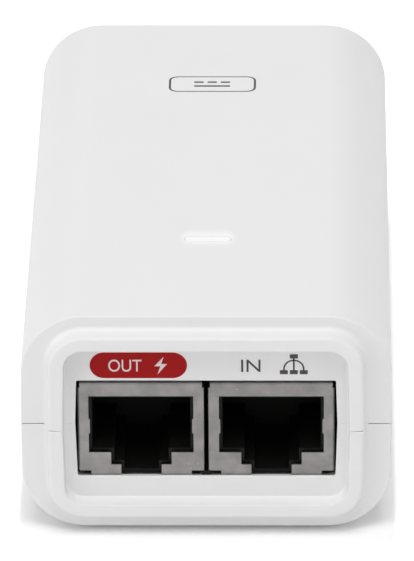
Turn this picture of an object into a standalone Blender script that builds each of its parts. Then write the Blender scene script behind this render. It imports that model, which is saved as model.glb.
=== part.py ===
"""A mains power-over-Ethernet injector: a small two-shell plastic block with two
shielded network sockets side by side in a rimmed recess at the front (-Y), an
indicator bar in the lid and a three-pin mains inlet at the back (+Y).

Metres, +Z up. The origin is the middle of the underside, the long side runs along Y.
"""

import math

import bmesh
import bpy

# Case: two shells that meet at the parting plane
CASE_WIDTH = 0.0460
CASE_LENGTH = 0.0870
CASE_HEIGHT = 0.0296
CASE_CORNER_RADIUS = 0.0080
CASE_END_ROUND = 0.0005
CASE_WALL = 0.0020
PARTING_HEIGHT = 0.0145
PARTING_GAP = 0.0003
LIP_THICKNESS = 0.0010
LIP_HEIGHT = 0.0012
CORNER_STEPS = 8

# Raised rim round the sockets, and the recess inside it
RIM_DEPTH = 0.0020
RIM_SIDE_MARGIN = 0.0034
RIM_TOP_MARGIN = 0.0022
RIM_CORNER_RADIUS = 0.0043
RIM_THICKNESS = 0.00185
RIM_ROUND = 0.0004
RECESS_DEPTH = 0.0021
PANEL_THICKNESS = 0.0018

# Clearances
SEAT_GAP = 0.0003
FIT_GAP = 0.0003
JACK_SIDE_GAP = 0.0004
JACK_TOP_GAP = 0.0007
BOARD_EDGE_GAP = 0.0004
PART_SPACING = 0.0012
BOARD_SIDE_GAP = 0.0003
HEAD_CLEARANCE = 0.0032

# Circuit board on four posts
BOARD_THICKNESS = 0.0016
POST_HEIGHT = 0.0028
POST_DIAMETER = 0.0040
POST_INSET = 0.0042

# Network jacks: stamped shield, moulded housing, contact insert, spring contacts
JACK_WIDTH = 0.0155
JACK_HEIGHT = 0.01275
JACK_DEPTH = 0.0160
JACK_SPACING = 0.0007
JACK_SET_BACK = 0.0004
SHIELD_SHEET = 0.0003
SHIELD_NOTCH_WIDTH = 0.0016
SHIELD_NOTCH_HEIGHT = 0.00045
WINDOW_WIDTH = 0.0129
WINDOW_TOP_MARGIN = 0.00175
WINDOW_HEIGHT = 0.0078
LATCH_STEP_WIDTH = 0.00745
LATCH_STEP_HEIGHT = 0.00175
LATCH_SLOT_WIDTH = 0.00495
FINGER_HEIGHT = 0.0026
FINGER_DROP = 0.0029
FINGER_INSET = 0.00018
PLUG_RIM = 0.00033
PLUG_DEPTH = 0.0118
PLUG_FLOOR = 0.0006
INSERT_WIDTH = 0.0100
INSERT_PLATE = 0.0007
INSERT_FROM_FRONT = 0.0026
REAR_PLATE = 0.0014
TAIL_LENGTH = 0.0012
CONTACT_COUNT = 8
CONTACT_PITCH = 0.00102
CONTACT_THICKNESS = 0.00045
CONTACT_LENGTH = 0.0072
CONTACT_SLOPE_DEG = 22.0

# Indicator bar in the lid, light pipe and lamp
LAMP_FROM_FRONT = 0.0231
LAMP_BAR_LENGTH = 0.0060
LAMP_BAR_WIDTH = 0.0016
PIPE_FLANGE_MARGIN = 0.0009
PIPE_FLANGE_THICKNESS = 0.0010
PIPE_STEM_LENGTH = 0.0046
PIPE_STEM_WIDTH = 0.0012
LAMP_HEIGHT = 0.0012

# Mains inlet: three round pins in a three-lobed socket
INLET_WIDTH = 0.0206
INLET_HEIGHT = 0.0150
INLET_DEPTH = 0.0155
INLET_FLANGE_MARGIN = 0.0008
INLET_FLANGE_THICKNESS = 0.0015
INLET_SOCKET_DEPTH = 0.0115
INLET_LOBE_RADIUS = 0.0041
INLET_PIN_SPACING = 0.0100
INLET_EARTH_RISE = 0.0043
INLET_WEB_HEIGHT = 0.0052
PIN_RADIUS = 0.0012
PIN_RECESS = 0.0025
PIN_TAIL_REACH = 0.0018

# Parts on the board: each row takes a share of the length between the jacks and the inlet,
# and its outer parts keep to the board's sides
OUTPUT_ROW_SHARE = 0.182
POWER_ROW_SHARE = 0.455
FILTER_ROW_SHARE = 0.165
MAGNETICS_LENGTH = 0.0125
MAGNETICS_WIDTH = 0.0060
MAGNETICS_HEIGHT = 0.0056
OUTPUT_CAPACITOR_HEIGHT = 0.0115
INDUCTOR_HEIGHT = 0.0100
DIODE_DIAMETER = 0.0050
DIODE_LENGTH = 0.0088
DIODE_LEAD_DIAMETER = 0.0012
DIODE_LEAD_SPAN = 0.0125
CHIP_HEIGHT = 0.0034
CHIP_STAND_OFF = 0.0006
CHIP_LEG = 0.0006
COUPLER_LENGTH = 0.0046
COUPLER_WIDTH = 0.0064
CONTROLLER_LENGTH = 0.0094
CONTROLLER_WIDTH = 0.0058
BRIDGE_LENGTH = 0.0080
DISC_LEAD_DIAMETER = 0.0008
DISC_LEAD_SPACING = 0.0050
DISC_LIFT = 0.0020
SAFETY_CAPACITOR_DIAMETER = 0.0075
SAFETY_CAPACITOR_THICKNESS = 0.0040
VARISTOR_DIAMETER = 0.0090
VARISTOR_THICKNESS = 0.0042
FILM_CAPACITOR_HEIGHT = 0.0115
FUSE_DIAMETER = 0.0036
FUSE_LENGTH = 0.0100
CHOKE_OUTER_RADIUS = 0.0058
CHOKE_INNER_RADIUS = 0.0032
CHOKE_WIRE_LAYER = 0.0008
CHOKE_SPLIT = 0.0030
CORE_THICKNESS = 0.0060
CORE_SIDE_LEG_SHARE = 0.14
CORE_MIDDLE_LEG_SHARE = 0.29
CORE_YOKE_SHARE = 0.16
BOBBIN_WALL = 0.0008
BOBBIN_HEIGHT = 0.0138
WINDING_INSET = 0.0006

# Places that follow from the sizes above
FRONT = -CASE_LENGTH / 2
REAR = CASE_LENGTH / 2
SHOULDER_Y = FRONT + RIM_DEPTH
PANEL_Y = FRONT + RECESS_DEPTH
CAVITY_FRONT = PANEL_Y + PANEL_THICKNESS
CAVITY_REAR = REAR - CASE_WALL
CAVITY_RADIUS = CASE_CORNER_RADIUS - CASE_WALL
BOARD_BOTTOM = CASE_WALL + POST_HEIGHT + SEAT_GAP
BOARD_TOP = BOARD_BOTTOM + BOARD_THICKNESS
SEAT_Z = BOARD_TOP + SEAT_GAP
JACK_FRONT = PANEL_Y + JACK_SET_BACK
JACK_OFFSET = (JACK_WIDTH + JACK_SPACING) / 2
JACK_BACK = JACK_FRONT + JACK_DEPTH
LAMP_Y = FRONT + LAMP_FROM_FRONT
INLET_Z = SEAT_Z + INLET_FLANGE_MARGIN + INLET_HEIGHT / 2
INLET_BACK = REAR - INLET_DEPTH
HEAD_ROOM = CASE_HEIGHT - CASE_WALL - SEAT_Z
PIN_FRONT = INLET_BACK - PIN_TAIL_REACH - PIN_RADIUS
ROW_ROOM = PIN_FRONT - JACK_BACK - 5 * PART_SPACING
OUTPUT_ROW = ROW_ROOM * OUTPUT_ROW_SHARE
POWER_ROW = ROW_ROOM * POWER_ROW_SHARE
FILTER_ROW = ROW_ROOM * FILTER_ROW_SHARE

for leftover in list(bpy.data.objects):
    bpy.data.objects.remove(leftover, do_unlink=True)

parts = bpy.data.collections.new("poe_injector")
cutters = bpy.data.collections.new("cutters")
bpy.context.scene.collection.children.link(parts)
bpy.context.scene.collection.children.link(cutters)

SHELL_WHITE = ("shell_white", (0.80, 0.80, 0.79), 0.45, 0.0)
LIGHT_GUIDE = ("light_guide", (0.95, 0.95, 0.95), 0.25, 0.0)
NICKEL = ("nickel_sheet", (0.30, 0.29, 0.28), 0.35, 1.0)
BLACK_MOULDING = ("black_moulding", (0.012, 0.012, 0.012), 0.5, 0.0)
GOLD_WIRE = ("gold_wire", (0.83, 0.60, 0.22), 0.25, 1.0)
BRASS_PIN = ("plated_pin", (0.62, 0.60, 0.56), 0.25, 1.0)
BOARD_GREEN = ("board_green", (0.03, 0.17, 0.07), 0.5, 0.0)
CHIP_BLACK = ("chip_black", (0.02, 0.02, 0.022), 0.55, 0.0)
CAN_SLEEVE = ("can_sleeve", (0.03, 0.04, 0.07), 0.4, 0.0)
FERRITE = ("ferrite", (0.05, 0.05, 0.055), 0.7, 0.0)
COPPER = ("enamelled_copper", (0.50, 0.19, 0.06), 0.35, 1.0)
TAPE = ("yellow_tape", (0.75, 0.52, 0.06), 0.5, 0.0)
BLUE_COAT = ("blue_coat", (0.04, 0.13, 0.42), 0.45, 0.0)
FILM_BOX = ("yellow_box", (0.78, 0.58, 0.10), 0.45, 0.0)
CERAMIC = ("ceramic_tube", (0.70, 0.66, 0.56), 0.5, 0.0)


def paint(obj, look):
    """Give an object its own Principled material."""
    name, colour, roughness, metallic = look
    material = bpy.data.materials.new(name + "_" + obj.name)
    material.use_nodes = True
    shader = material.node_tree.nodes["Principled BSDF"]
    shader.inputs["Base Color"].default_value = (*colour, 1.0)
    shader.inputs["Roughness"].default_value = roughness
    shader.inputs["Metallic"].default_value = metallic
    obj.data.materials.clear()
    obj.data.materials.append(material)


def place(name, mesh, location, parent=None, look=None):
    """Link a mesh as a part where a look is given, and as a cutter where none is."""
    obj = bpy.data.objects.new(name, mesh)
    obj.location = location
    obj.parent = parent
    if look is None:
        cutters.objects.link(obj)
        obj.hide_render = True
        obj.display_type = "WIRE"
    else:
        parts.objects.link(obj)
        paint(obj, look)
    return obj


def empty(name, location):
    """An axis or assembly point that pieces hang on."""
    obj = bpy.data.objects.new(name, None)
    obj.location = location
    obj.empty_display_size = 0.004
    parts.objects.link(obj)
    return obj


def block(name, low, high, parent=None, look=None):
    """A box between two corners, with its origin in its middle."""
    mesh = bpy.data.meshes.new(name)
    form = bmesh.new()
    bmesh.ops.create_cube(form, size=1.0)
    size = [b - a for a, b in zip(low, high)]
    bmesh.ops.scale(form, vec=size, verts=form.verts)
    form.to_mesh(mesh)
    form.free()
    middle = [(a + b) / 2 for a, b in zip(low, high)]
    return place(name, mesh, middle, parent, look)


def row_of_blocks(name, size, centres, turn_deg=0.0, parent=None, look=None):
    """Equal boxes at several places, turned about X through their near end."""
    mesh = bpy.data.meshes.new(name)
    form = bmesh.new()
    turn = math.radians(turn_deg)
    for centre in centres:
        made = bmesh.ops.create_cube(form, size=1.0)["verts"]
        bmesh.ops.scale(form, vec=size, verts=made)
        for vert in made:
            y, z = vert.co.y, vert.co.z
            vert.co.y = y * math.cos(turn) - z * math.sin(turn)
            vert.co.z = y * math.sin(turn) + z * math.cos(turn)
        bmesh.ops.translate(form, vec=centre, verts=made)
    form.to_mesh(mesh)
    form.free()
    return place(name, mesh, (0, 0, 0), parent, look)


def rod(name, radius, length, location, axis="Z", sides=20, parent=None, look=None):
    """A cylinder centred at a place, along X, Y or Z."""
    mesh = bpy.data.meshes.new(name)
    form = bmesh.new()
    bmesh.ops.create_cone(
        form, cap_ends=True, segments=sides, radius1=radius, radius2=radius, depth=length
    )
    form.to_mesh(mesh)
    form.free()
    obj = place(name, mesh, location, parent, look)
    if axis == "X":
        obj.rotation_euler = (0, math.pi / 2, 0)
    if axis == "Y":
        obj.rotation_euler = (math.pi / 2, 0, 0)
    return obj


def turned(name, profile, location, steps=20, look=None):
    """A turned shape: a profile of (radius, height), top to bottom, with a Screw."""
    mesh = bpy.data.meshes.new(name)
    mesh.from_pydata(
        [(radius, 0.0, height) for radius, height in profile],
        [(i, i + 1) for i in range(len(profile) - 1)],
        [],
    )
    obj = place(name, mesh, location, None, look)
    screw = obj.modifiers.new("turn", "SCREW")
    screw.steps = steps
    screw.render_steps = steps
    screw.use_merge_vertices = True
    screw.merge_threshold = 0.00001
    screw.use_smooth_shade = False
    return obj


def mesh_of(curve_object, flat_ends=()):
    """The closed mesh of a curve, with its loose caps welded on. Each flat end, given
    by its height, becomes one face."""
    bpy.context.view_layer.update()
    graph = bpy.context.evaluated_depsgraph_get()
    mesh = bpy.data.meshes.new_from_object(curve_object.evaluated_get(graph))
    form = bmesh.new()
    form.from_mesh(mesh)
    bmesh.ops.remove_doubles(form, verts=form.verts, dist=0.000002)
    for level in flat_ends:
        end = [f for f in form.faces if all(abs(v.co.z - level) < 1e-7 for v in f.verts)]
        bmesh.ops.dissolve_faces(form, faces=end)
    bmesh.ops.recalc_face_normals(form, faces=form.faces)
    form.to_mesh(mesh)
    form.free()
    bpy.data.objects.remove(curve_object, do_unlink=True)
    return mesh


def prism(name, outline, low, high, axis="Y", round_edge=0.0, parent=None, look=None):
    """A flat outline pushed along X, Y or Z from low to high. The outline's two
    numbers are (Y, Z) for X, (X, Z) for Y and (X, Y) for Z."""
    curve = bpy.data.curves.new(name, "CURVE")
    curve.dimensions = "2D"
    curve.fill_mode = "BOTH"
    curve.extrude = (high - low) / 2 - round_edge
    if round_edge:
        curve.bevel_depth = round_edge
        curve.bevel_resolution = 1
        curve.offset = -round_edge
    spline = curve.splines.new("POLY")
    spline.points.add(len(outline) - 1)
    for point, (across, up) in zip(spline.points, outline):
        point.co = (across, up, 0.0, 1.0)
    spline.use_cyclic_u = True
    drawn = bpy.data.objects.new(name, curve)
    cutters.objects.link(drawn)
    half = (high - low) / 2
    mesh = mesh_of(drawn, (-half, half))
    middle = (low + high) / 2
    location = [middle if letter == axis else 0.0 for letter in "XYZ"]
    obj = place(name, mesh, location, parent, look)
    if axis == "X":
        obj.rotation_euler = (math.pi / 2, 0, math.pi / 2)
    if axis == "Y":
        obj.rotation_euler = (math.pi / 2, 0, 0)
    return obj


def wire(name, path, radius, parent=None, look=None):
    """A bent round wire through the points of a path."""
    curve = bpy.data.curves.new(name, "CURVE")
    curve.dimensions = "3D"
    curve.bevel_depth = radius
    curve.bevel_resolution = 2
    curve.use_fill_caps = True
    spline = curve.splines.new("POLY")
    spline.points.add(len(path) - 1)
    for point, place_on_path in zip(spline.points, path):
        point.co = (*place_on_path, 1.0)
    drawn = bpy.data.objects.new(name, curve)
    cutters.objects.link(drawn)
    return place(name, mesh_of(drawn), (0, 0, 0), parent, look)


def rounded(width, height, radius, middle=(0.0, 0.0), steps=CORNER_STEPS):
    """The outline of a rounded rectangle, counter-clockwise."""
    outline = []
    for corner in range(4):
        side = 1 if corner in (0, 3) else -1
        level = 1 if corner in (0, 1) else -1
        for step in range(steps + 1):
            angle = math.pi / 2 * (corner + step / steps)
            across = side * (width / 2 - radius) + radius * math.cos(angle)
            up = level * (height / 2 - radius) + radius * math.sin(angle)
            outline.append((middle[0] + across, middle[1] + up))
    return outline


def boolean(obj, operation, *tools):
    for tool in tools:
        modifier = obj.modifiers.new(operation.lower() + "_" + tool.name, "BOOLEAN")
        modifier.operation = operation
        modifier.solver = "EXACT"
        modifier.object = tool


def soften(obj, width):
    """A small chamfer on every sharp edge."""
    bevel = obj.modifiers.new("edges", "BEVEL")
    bevel.width = width
    bevel.segments = 1
    bevel.limit_method = "ANGLE"


# Case form: body, rim, recess, inside and openings, before it is split
case_middle = (0.0, CASE_HEIGHT / 2)
rim_width = CASE_WIDTH - 2 * RIM_SIDE_MARGIN
rim_height = CASE_HEIGHT - 2 * RIM_TOP_MARGIN
recess_width = rim_width - 2 * RIM_THICKNESS
recess_height = rim_height - 2 * RIM_THICKNESS
case_form = prism(
    "case_form",
    rounded(CASE_WIDTH, CASE_HEIGHT, CASE_CORNER_RADIUS, case_middle),
    SHOULDER_Y,
    REAR,
    round_edge=CASE_END_ROUND,
)
rim = prism(
    "rim",
    rounded(rim_width, rim_height, RIM_CORNER_RADIUS, case_middle, 5),
    FRONT,
    CAVITY_FRONT - PANEL_THICKNESS / 3,
    round_edge=RIM_ROUND,
)
recess = prism(
    "recess",
    rounded(recess_width, recess_height, RIM_CORNER_RADIUS - RIM_THICKNESS, case_middle, 5),
    FRONT - RIM_DEPTH,
    PANEL_Y,
)
cavity = prism(
    "cavity",
    rounded(
        CASE_WIDTH - 2 * CASE_WALL,
        CASE_HEIGHT - 2 * CASE_WALL,
        CAVITY_RADIUS,
        case_middle,
    ),
    CAVITY_FRONT,
    CAVITY_REAR,
)
jack_opening = block(
    "jack_opening",
    (
        -JACK_OFFSET - JACK_WIDTH / 2 - JACK_SIDE_GAP,
        PANEL_Y - RECESS_DEPTH / 2,
        SEAT_Z - FIT_GAP,
    ),
    (
        JACK_OFFSET + JACK_WIDTH / 2 + JACK_SIDE_GAP,
        CAVITY_FRONT + PANEL_THICKNESS,
        SEAT_Z + JACK_HEIGHT + JACK_TOP_GAP,
    ),
)
inlet_opening = block(
    "inlet_opening",
    (
        -INLET_WIDTH / 2 - FIT_GAP,
        CAVITY_REAR - CASE_WALL,
        INLET_Z - INLET_HEIGHT / 2 - FIT_GAP,
    ),
    (
        INLET_WIDTH / 2 + FIT_GAP,
        REAR + CASE_WALL,
        INLET_Z + INLET_HEIGHT / 2 + FIT_GAP,
    ),
)
slot_width = LAMP_BAR_WIDTH + 2 * FIT_GAP
lamp_slot = prism(
    "lamp_slot",
    rounded(LAMP_BAR_LENGTH + 2 * FIT_GAP, slot_width, slot_width / 2 * 0.98, (0.0, LAMP_Y), 4),
    CASE_HEIGHT - 2 * CASE_WALL,
    CASE_HEIGHT + CASE_WALL,
    axis="Z",
)
boolean(case_form, "UNION", rim)
boolean(case_form, "DIFFERENCE", recess, cavity, jack_opening, inlet_opening, lamp_slot)

# Shells: the form above and below the parting plane, with a lip along both sides
margin = CASE_WALL
top_case = block(
    "top_case",
    (-CASE_WIDTH / 2 - margin, FRONT - margin, PARTING_HEIGHT + PARTING_GAP / 2),
    (CASE_WIDTH / 2 + margin, REAR + margin, CASE_HEIGHT + margin),
    look=SHELL_WHITE,
)
bottom_case = block(
    "bottom_case",
    (-CASE_WIDTH / 2 - margin, FRONT - margin, -margin),
    (CASE_WIDTH / 2 + margin, REAR + margin, PARTING_HEIGHT - PARTING_GAP / 2),
    look=SHELL_WHITE,
)
boolean(top_case, "INTERSECT", case_form)
boolean(bottom_case, "INTERSECT", case_form)
inside_wall = CASE_WIDTH / 2 - CASE_WALL
for side, hand in ((-1, "left"), (1, "right")):
    near = side * (inside_wall - LIP_THICKNESS / 8)
    far = side * (inside_wall + LIP_THICKNESS * 7 / 8)
    lip = block(
        "lip_" + hand,
        (min(near, far), CAVITY_FRONT + CASE_WALL, PARTING_HEIGHT - LIP_HEIGHT),
        (max(near, far), CAVITY_REAR - CASE_WALL, PARTING_HEIGHT + LIP_HEIGHT),
    )
    groove_near = side * (inside_wall - LIP_THICKNESS)
    groove_far = far + side * FIT_GAP
    groove = block(
        "groove_" + hand,
        (
            min(groove_near, groove_far),
            CAVITY_FRONT + CASE_WALL - FIT_GAP,
            PARTING_HEIGHT - LIP_HEIGHT,
        ),
        (
            max(groove_near, groove_far),
            CAVITY_REAR - CASE_WALL + FIT_GAP,
            PARTING_HEIGHT + LIP_HEIGHT + FIT_GAP,
        ),
    )
    boolean(bottom_case, "UNION", lip)
    boolean(top_case, "DIFFERENCE", groove)

# Circuit board: as wide as the rounded floor lets it be, on four posts of the lower shell
drop = CAVITY_RADIUS - (BOARD_BOTTOM - CASE_WALL)
inside_half = inside_wall - CAVITY_RADIUS + math.sqrt(CAVITY_RADIUS**2 - drop**2)
board_half = inside_half - BOARD_EDGE_GAP
board_front = CAVITY_FRONT + BOARD_EDGE_GAP
board_rear = CAVITY_REAR - BOARD_EDGE_GAP
circuit_board = block(
    "circuit_board",
    (-board_half, board_front, BOARD_BOTTOM),
    (board_half, board_rear, BOARD_TOP),
    look=BOARD_GREEN,
)
for number, (across, along) in enumerate(
    (x, y)
    for x in (-board_half + POST_INSET, board_half - POST_INSET)
    for y in (board_front + POST_INSET, board_rear - POST_INSET)
):
    post = rod(
        "post_" + str(number),
        POST_DIAMETER / 2,
        POST_HEIGHT + CASE_WALL / 2,
        (across, along, CASE_WALL + POST_HEIGHT / 2 - CASE_WALL / 4),
        sides=16,
    )
    boolean(bottom_case, "UNION", post)


def jack_window(inset, bottom, finger):
    """The front outline of the plug opening: a main window, a step and the latch slot.
    It is drawn from the slot's foot, right side up and left side down."""
    top = JACK_HEIGHT - WINDOW_TOP_MARGIN - inset
    ledge = JACK_HEIGHT - WINDOW_TOP_MARGIN - WINDOW_HEIGHT + inset
    step = ledge - LATCH_STEP_HEIGHT
    half = WINDOW_WIDTH / 2 - inset
    step_half = LATCH_STEP_WIDTH / 2 - inset
    slot_half = LATCH_SLOT_WIDTH / 2 - inset
    right = [
        (slot_half, bottom),
        (slot_half, step),
        (step_half, step),
        (step_half, ledge),
        (half, ledge),
    ]
    if finger:
        finger_top = top - FINGER_DROP
        finger_low = finger_top - FINGER_HEIGHT
        right += [
            (half, finger_low - FINGER_INSET),
            (half - FINGER_INSET, finger_low),
            (half - FINGER_INSET, finger_top),
            (half, finger_top + FINGER_INSET),
        ]
    right.append((half, top))
    return right + [(-x, z) for x, z in reversed(right)]


def make_jack(prefix, across):
    """One shielded jack. Its own frame: Y from the shield's face, Z from its foot."""
    jack = empty(prefix + "_jack", (across, JACK_FRONT, SEAT_Z))
    half = JACK_WIDTH / 2
    wall = SHIELD_SHEET + FIT_GAP

    # Shield: a box of folded sheet, open below, with the window and two foot notches
    shield = block(
        prefix + "_jack_shield",
        (-half, 0, 0),
        (half, JACK_DEPTH, JACK_HEIGHT),
        jack,
        NICKEL,
    )
    form = bmesh.new()
    form.from_mesh(shield.data)
    under = [face for face in form.faces if face.normal.z < -0.9]
    bmesh.ops.delete(form, geom=under, context="FACES")
    form.to_mesh(shield.data)
    form.free()
    sheet = shield.modifiers.new("sheet", "SOLIDIFY")
    sheet.thickness = SHIELD_SHEET
    sheet.offset = -1.0
    sheet.use_even_offset = True
    window = prism(
        prefix + "_window",
        jack_window(0.0, -FIT_GAP, True),
        -SHIELD_SHEET,
        SHIELD_SHEET + FIT_GAP / 2,
        parent=jack,
    )
    boolean(shield, "DIFFERENCE", window)
    for side in (-1, 1):
        inner = side * (half - SHIELD_NOTCH_WIDTH)
        outer = side * (half + SHIELD_SHEET)
        notch = block(
            prefix + "_notch_" + ("left" if side < 0 else "right"),
            (min(inner, outer), -SHIELD_SHEET, -FIT_GAP),
            (max(inner, outer), SHIELD_SHEET + FIT_GAP / 2, SHIELD_NOTCH_HEIGHT),
            parent=jack,
        )
        boolean(shield, "DIFFERENCE", notch)

    # Housing: the black block with the plug's room, open in its roof and back for the insert
    house_top = JACK_HEIGHT - wall
    house_back = JACK_DEPTH - wall
    house_half = half - wall
    room_top = JACK_HEIGHT - WINDOW_TOP_MARGIN - PLUG_RIM
    plate_low = house_top - INSERT_PLATE
    rear_plate_y = house_back - REAR_PLATE
    housing = block(
        prefix + "_jack_housing",
        (-house_half, wall, 0),
        (house_half, house_back, house_top),
        jack,
        BLACK_MOULDING,
    )
    room = prism(
        prefix + "_plug_room",
        jack_window(PLUG_RIM, PLUG_FLOOR, False),
        wall - FIT_GAP,
        wall + PLUG_DEPTH,
        parent=jack,
    )
    seat_half = INSERT_WIDTH / 2 + FIT_GAP
    gap_front = wall + INSERT_FROM_FRONT
    gap_back = wall + PLUG_DEPTH - PLUG_RIM
    insert_seat = prism(
        prefix + "_insert_seat",
        [
            (gap_front, room_top - PLUG_RIM),
            (gap_back, room_top - PLUG_RIM),
            (gap_back, plate_low - FIT_GAP),
            (rear_plate_y - FIT_GAP, plate_low - FIT_GAP),
            (rear_plate_y - FIT_GAP, -FIT_GAP),
            (house_back + wall, -FIT_GAP),
            (house_back + wall, house_top + wall),
            (gap_front, house_top + wall),
        ],
        -seat_half,
        seat_half,
        "X",
        parent=jack,
    )
    boolean(housing, "DIFFERENCE", room, insert_seat)

    # Insert: the moulded angle that holds the contact wires, with its solder tails
    insert = prism(
        prefix + "_jack_insert",
        [
            (gap_front + FIT_GAP, plate_low),
            (rear_plate_y, plate_low),
            (rear_plate_y, TAIL_LENGTH),
            (house_back, TAIL_LENGTH),
            (house_back, house_top),
            (gap_front + FIT_GAP, house_top),
        ],
        -INSERT_WIDTH / 2,
        INSERT_WIDTH / 2,
        "X",
        parent=jack,
        look=BLACK_MOULDING,
    )
    lanes = [(i - (CONTACT_COUNT - 1) / 2) * CONTACT_PITCH for i in range(CONTACT_COUNT)]
    tails = row_of_blocks(
        prefix + "_tails",
        (CONTACT_THICKNESS, CONTACT_THICKNESS, 2 * TAIL_LENGTH),
        [(x, rear_plate_y + REAR_PLATE / 2, TAIL_LENGTH) for x in lanes],
        parent=jack,
    )
    boolean(insert, "UNION", tails)

    # Spring contacts: eight sloped wires on one root bar, which turns about X
    axis_y = gap_front + 2 * FIT_GAP + CONTACT_THICKNESS / 2
    axis_z = plate_low - FIT_GAP - CONTACT_THICKNESS / 2
    pivot = empty(prefix + "_contact_axis", (0, axis_y, axis_z))
    pivot.parent = jack
    bar_half = lanes[-1] + CONTACT_THICKNESS / 2
    half_wire = CONTACT_THICKNESS / 2
    springs = block(
        prefix + "_jack_contacts",
        (-bar_half - half_wire, -half_wire, -half_wire),
        (bar_half + half_wire, half_wire, half_wire),
        pivot,
        GOLD_WIRE,
    )
    slope = math.radians(CONTACT_SLOPE_DEG)
    beams = row_of_blocks(
        prefix + "_beams",
        (CONTACT_THICKNESS, CONTACT_LENGTH, CONTACT_THICKNESS * 0.9),
        [
            (x, CONTACT_LENGTH / 2 * math.cos(slope), -CONTACT_LENGTH / 2 * math.sin(slope))
            for x in lanes
        ],
        -CONTACT_SLOPE_DEG,
        pivot,
    )
    boolean(springs, "UNION", beams)


make_jack("poe", -JACK_OFFSET)
make_jack("lan", JACK_OFFSET)

# Indicator: a lamp on the board and a light pipe up to the bar in the lid
lamp = block(
    "indicator_lamp",
    (-PIPE_STEM_LENGTH / 2, LAMP_Y - LAMP_BAR_WIDTH / 2, SEAT_Z),
    (PIPE_STEM_LENGTH / 2, LAMP_Y + LAMP_BAR_WIDTH / 2, SEAT_Z + LAMP_HEIGHT),
    look=LIGHT_GUIDE,
)
flange_top = CASE_HEIGHT - CASE_WALL - SEAT_GAP
light_pipe = prism(
    "light_pipe",
    rounded(LAMP_BAR_LENGTH, LAMP_BAR_WIDTH, LAMP_BAR_WIDTH / 2 * 0.98, (0.0, LAMP_Y), 4),
    flange_top - PIPE_FLANGE_THICKNESS / 2,
    CASE_HEIGHT,
    axis="Z",
    look=LIGHT_GUIDE,
)
pipe_flange = block(
    "pipe_flange",
    (
        -LAMP_BAR_LENGTH / 2 - PIPE_FLANGE_MARGIN,
        LAMP_Y - LAMP_BAR_WIDTH / 2 - PIPE_FLANGE_MARGIN,
        flange_top - PIPE_FLANGE_THICKNESS,
    ),
    (
        LAMP_BAR_LENGTH / 2 + PIPE_FLANGE_MARGIN,
        LAMP_Y + LAMP_BAR_WIDTH / 2 + PIPE_FLANGE_MARGIN,
        flange_top,
    ),
)
pipe_stem = block(
    "pipe_stem",
    (
        -PIPE_STEM_LENGTH / 2,
        LAMP_Y - PIPE_STEM_WIDTH / 2,
        SEAT_Z + LAMP_HEIGHT + SEAT_GAP,
    ),
    (
        PIPE_STEM_LENGTH / 2,
        LAMP_Y + PIPE_STEM_WIDTH / 2,
        flange_top - PIPE_FLANGE_THICKNESS / 2,
    ),
)
boolean(light_pipe, "UNION", pipe_flange, pipe_stem)

# Mains inlet: a moulded body that the two shells clasp by its flange, and three bent pins
inlet_body = block(
    "inlet_body",
    (-INLET_WIDTH / 2, INLET_BACK, INLET_Z - INLET_HEIGHT / 2),
    (INLET_WIDTH / 2, REAR, INLET_Z + INLET_HEIGHT / 2),
    look=BLACK_MOULDING,
)
inlet_flange = block(
    "inlet_flange",
    (
        -INLET_WIDTH / 2 - INLET_FLANGE_MARGIN,
        CAVITY_REAR - SEAT_GAP - INLET_FLANGE_THICKNESS,
        INLET_Z - INLET_HEIGHT / 2 - INLET_FLANGE_MARGIN,
    ),
    (
        INLET_WIDTH / 2 + INLET_FLANGE_MARGIN,
        CAVITY_REAR - SEAT_GAP,
        INLET_Z + INLET_HEIGHT / 2 + INLET_FLANGE_MARGIN,
    ),
)
boolean(inlet_body, "UNION", inlet_flange)
pin_low = INLET_Z - INLET_EARTH_RISE / 2
pin_places = {
    "inlet_live_pin": (-INLET_PIN_SPACING / 2, pin_low),
    "inlet_neutral_pin": (INLET_PIN_SPACING / 2, pin_low),
    "inlet_earth_pin": (0.0, pin_low + INLET_EARTH_RISE),
}
socket_back = REAR - INLET_SOCKET_DEPTH
web = block(
    "inlet_web",
    (-INLET_PIN_SPACING / 2, socket_back, pin_low - INLET_WEB_HEIGHT / 2),
    (INLET_PIN_SPACING / 2, REAR + CASE_WALL, pin_low + INLET_EARTH_RISE),
)
boolean(inlet_body, "DIFFERENCE", web)
for name, (across, up) in pin_places.items():
    lobe = rod(
        name + "_lobe",
        INLET_LOBE_RADIUS,
        INLET_SOCKET_DEPTH + CASE_WALL,
        (across, socket_back + (INLET_SOCKET_DEPTH + CASE_WALL) / 2, up),
        "Y",
    )
    hole = rod(
        name + "_hole",
        PIN_RADIUS + FIT_GAP,
        INLET_DEPTH,
        (across, INLET_BACK, up),
        "Y",
        16,
    )
    boolean(inlet_body, "DIFFERENCE", lobe, hole)
    wire(
        name,
        [
            (across, REAR - PIN_RECESS, up),
            (across, INLET_BACK - PIN_TAIL_REACH, up),
            (across, INLET_BACK - PIN_TAIL_REACH, SEAT_Z),
        ],
        PIN_RADIUS,
        look=BRASS_PIN,
    )


def can(name, diameter, height, across, along, look):
    """An electrolytic can: sleeve with a rounded crown and the crimp groove near its foot."""
    radius = diameter / 2
    edge = 0.0005
    foot = 0.0014
    profile = [
        (0.0, height),
        (radius - edge, height),
        (radius, height - edge),
        (radius, foot + 2 * edge),
        (radius - edge, foot + edge),
        (radius, foot),
        (radius, 0.0),
        (0.0, 0.0),
    ]
    return turned(name, profile, (across, along, SEAT_Z), look=look)


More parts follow.
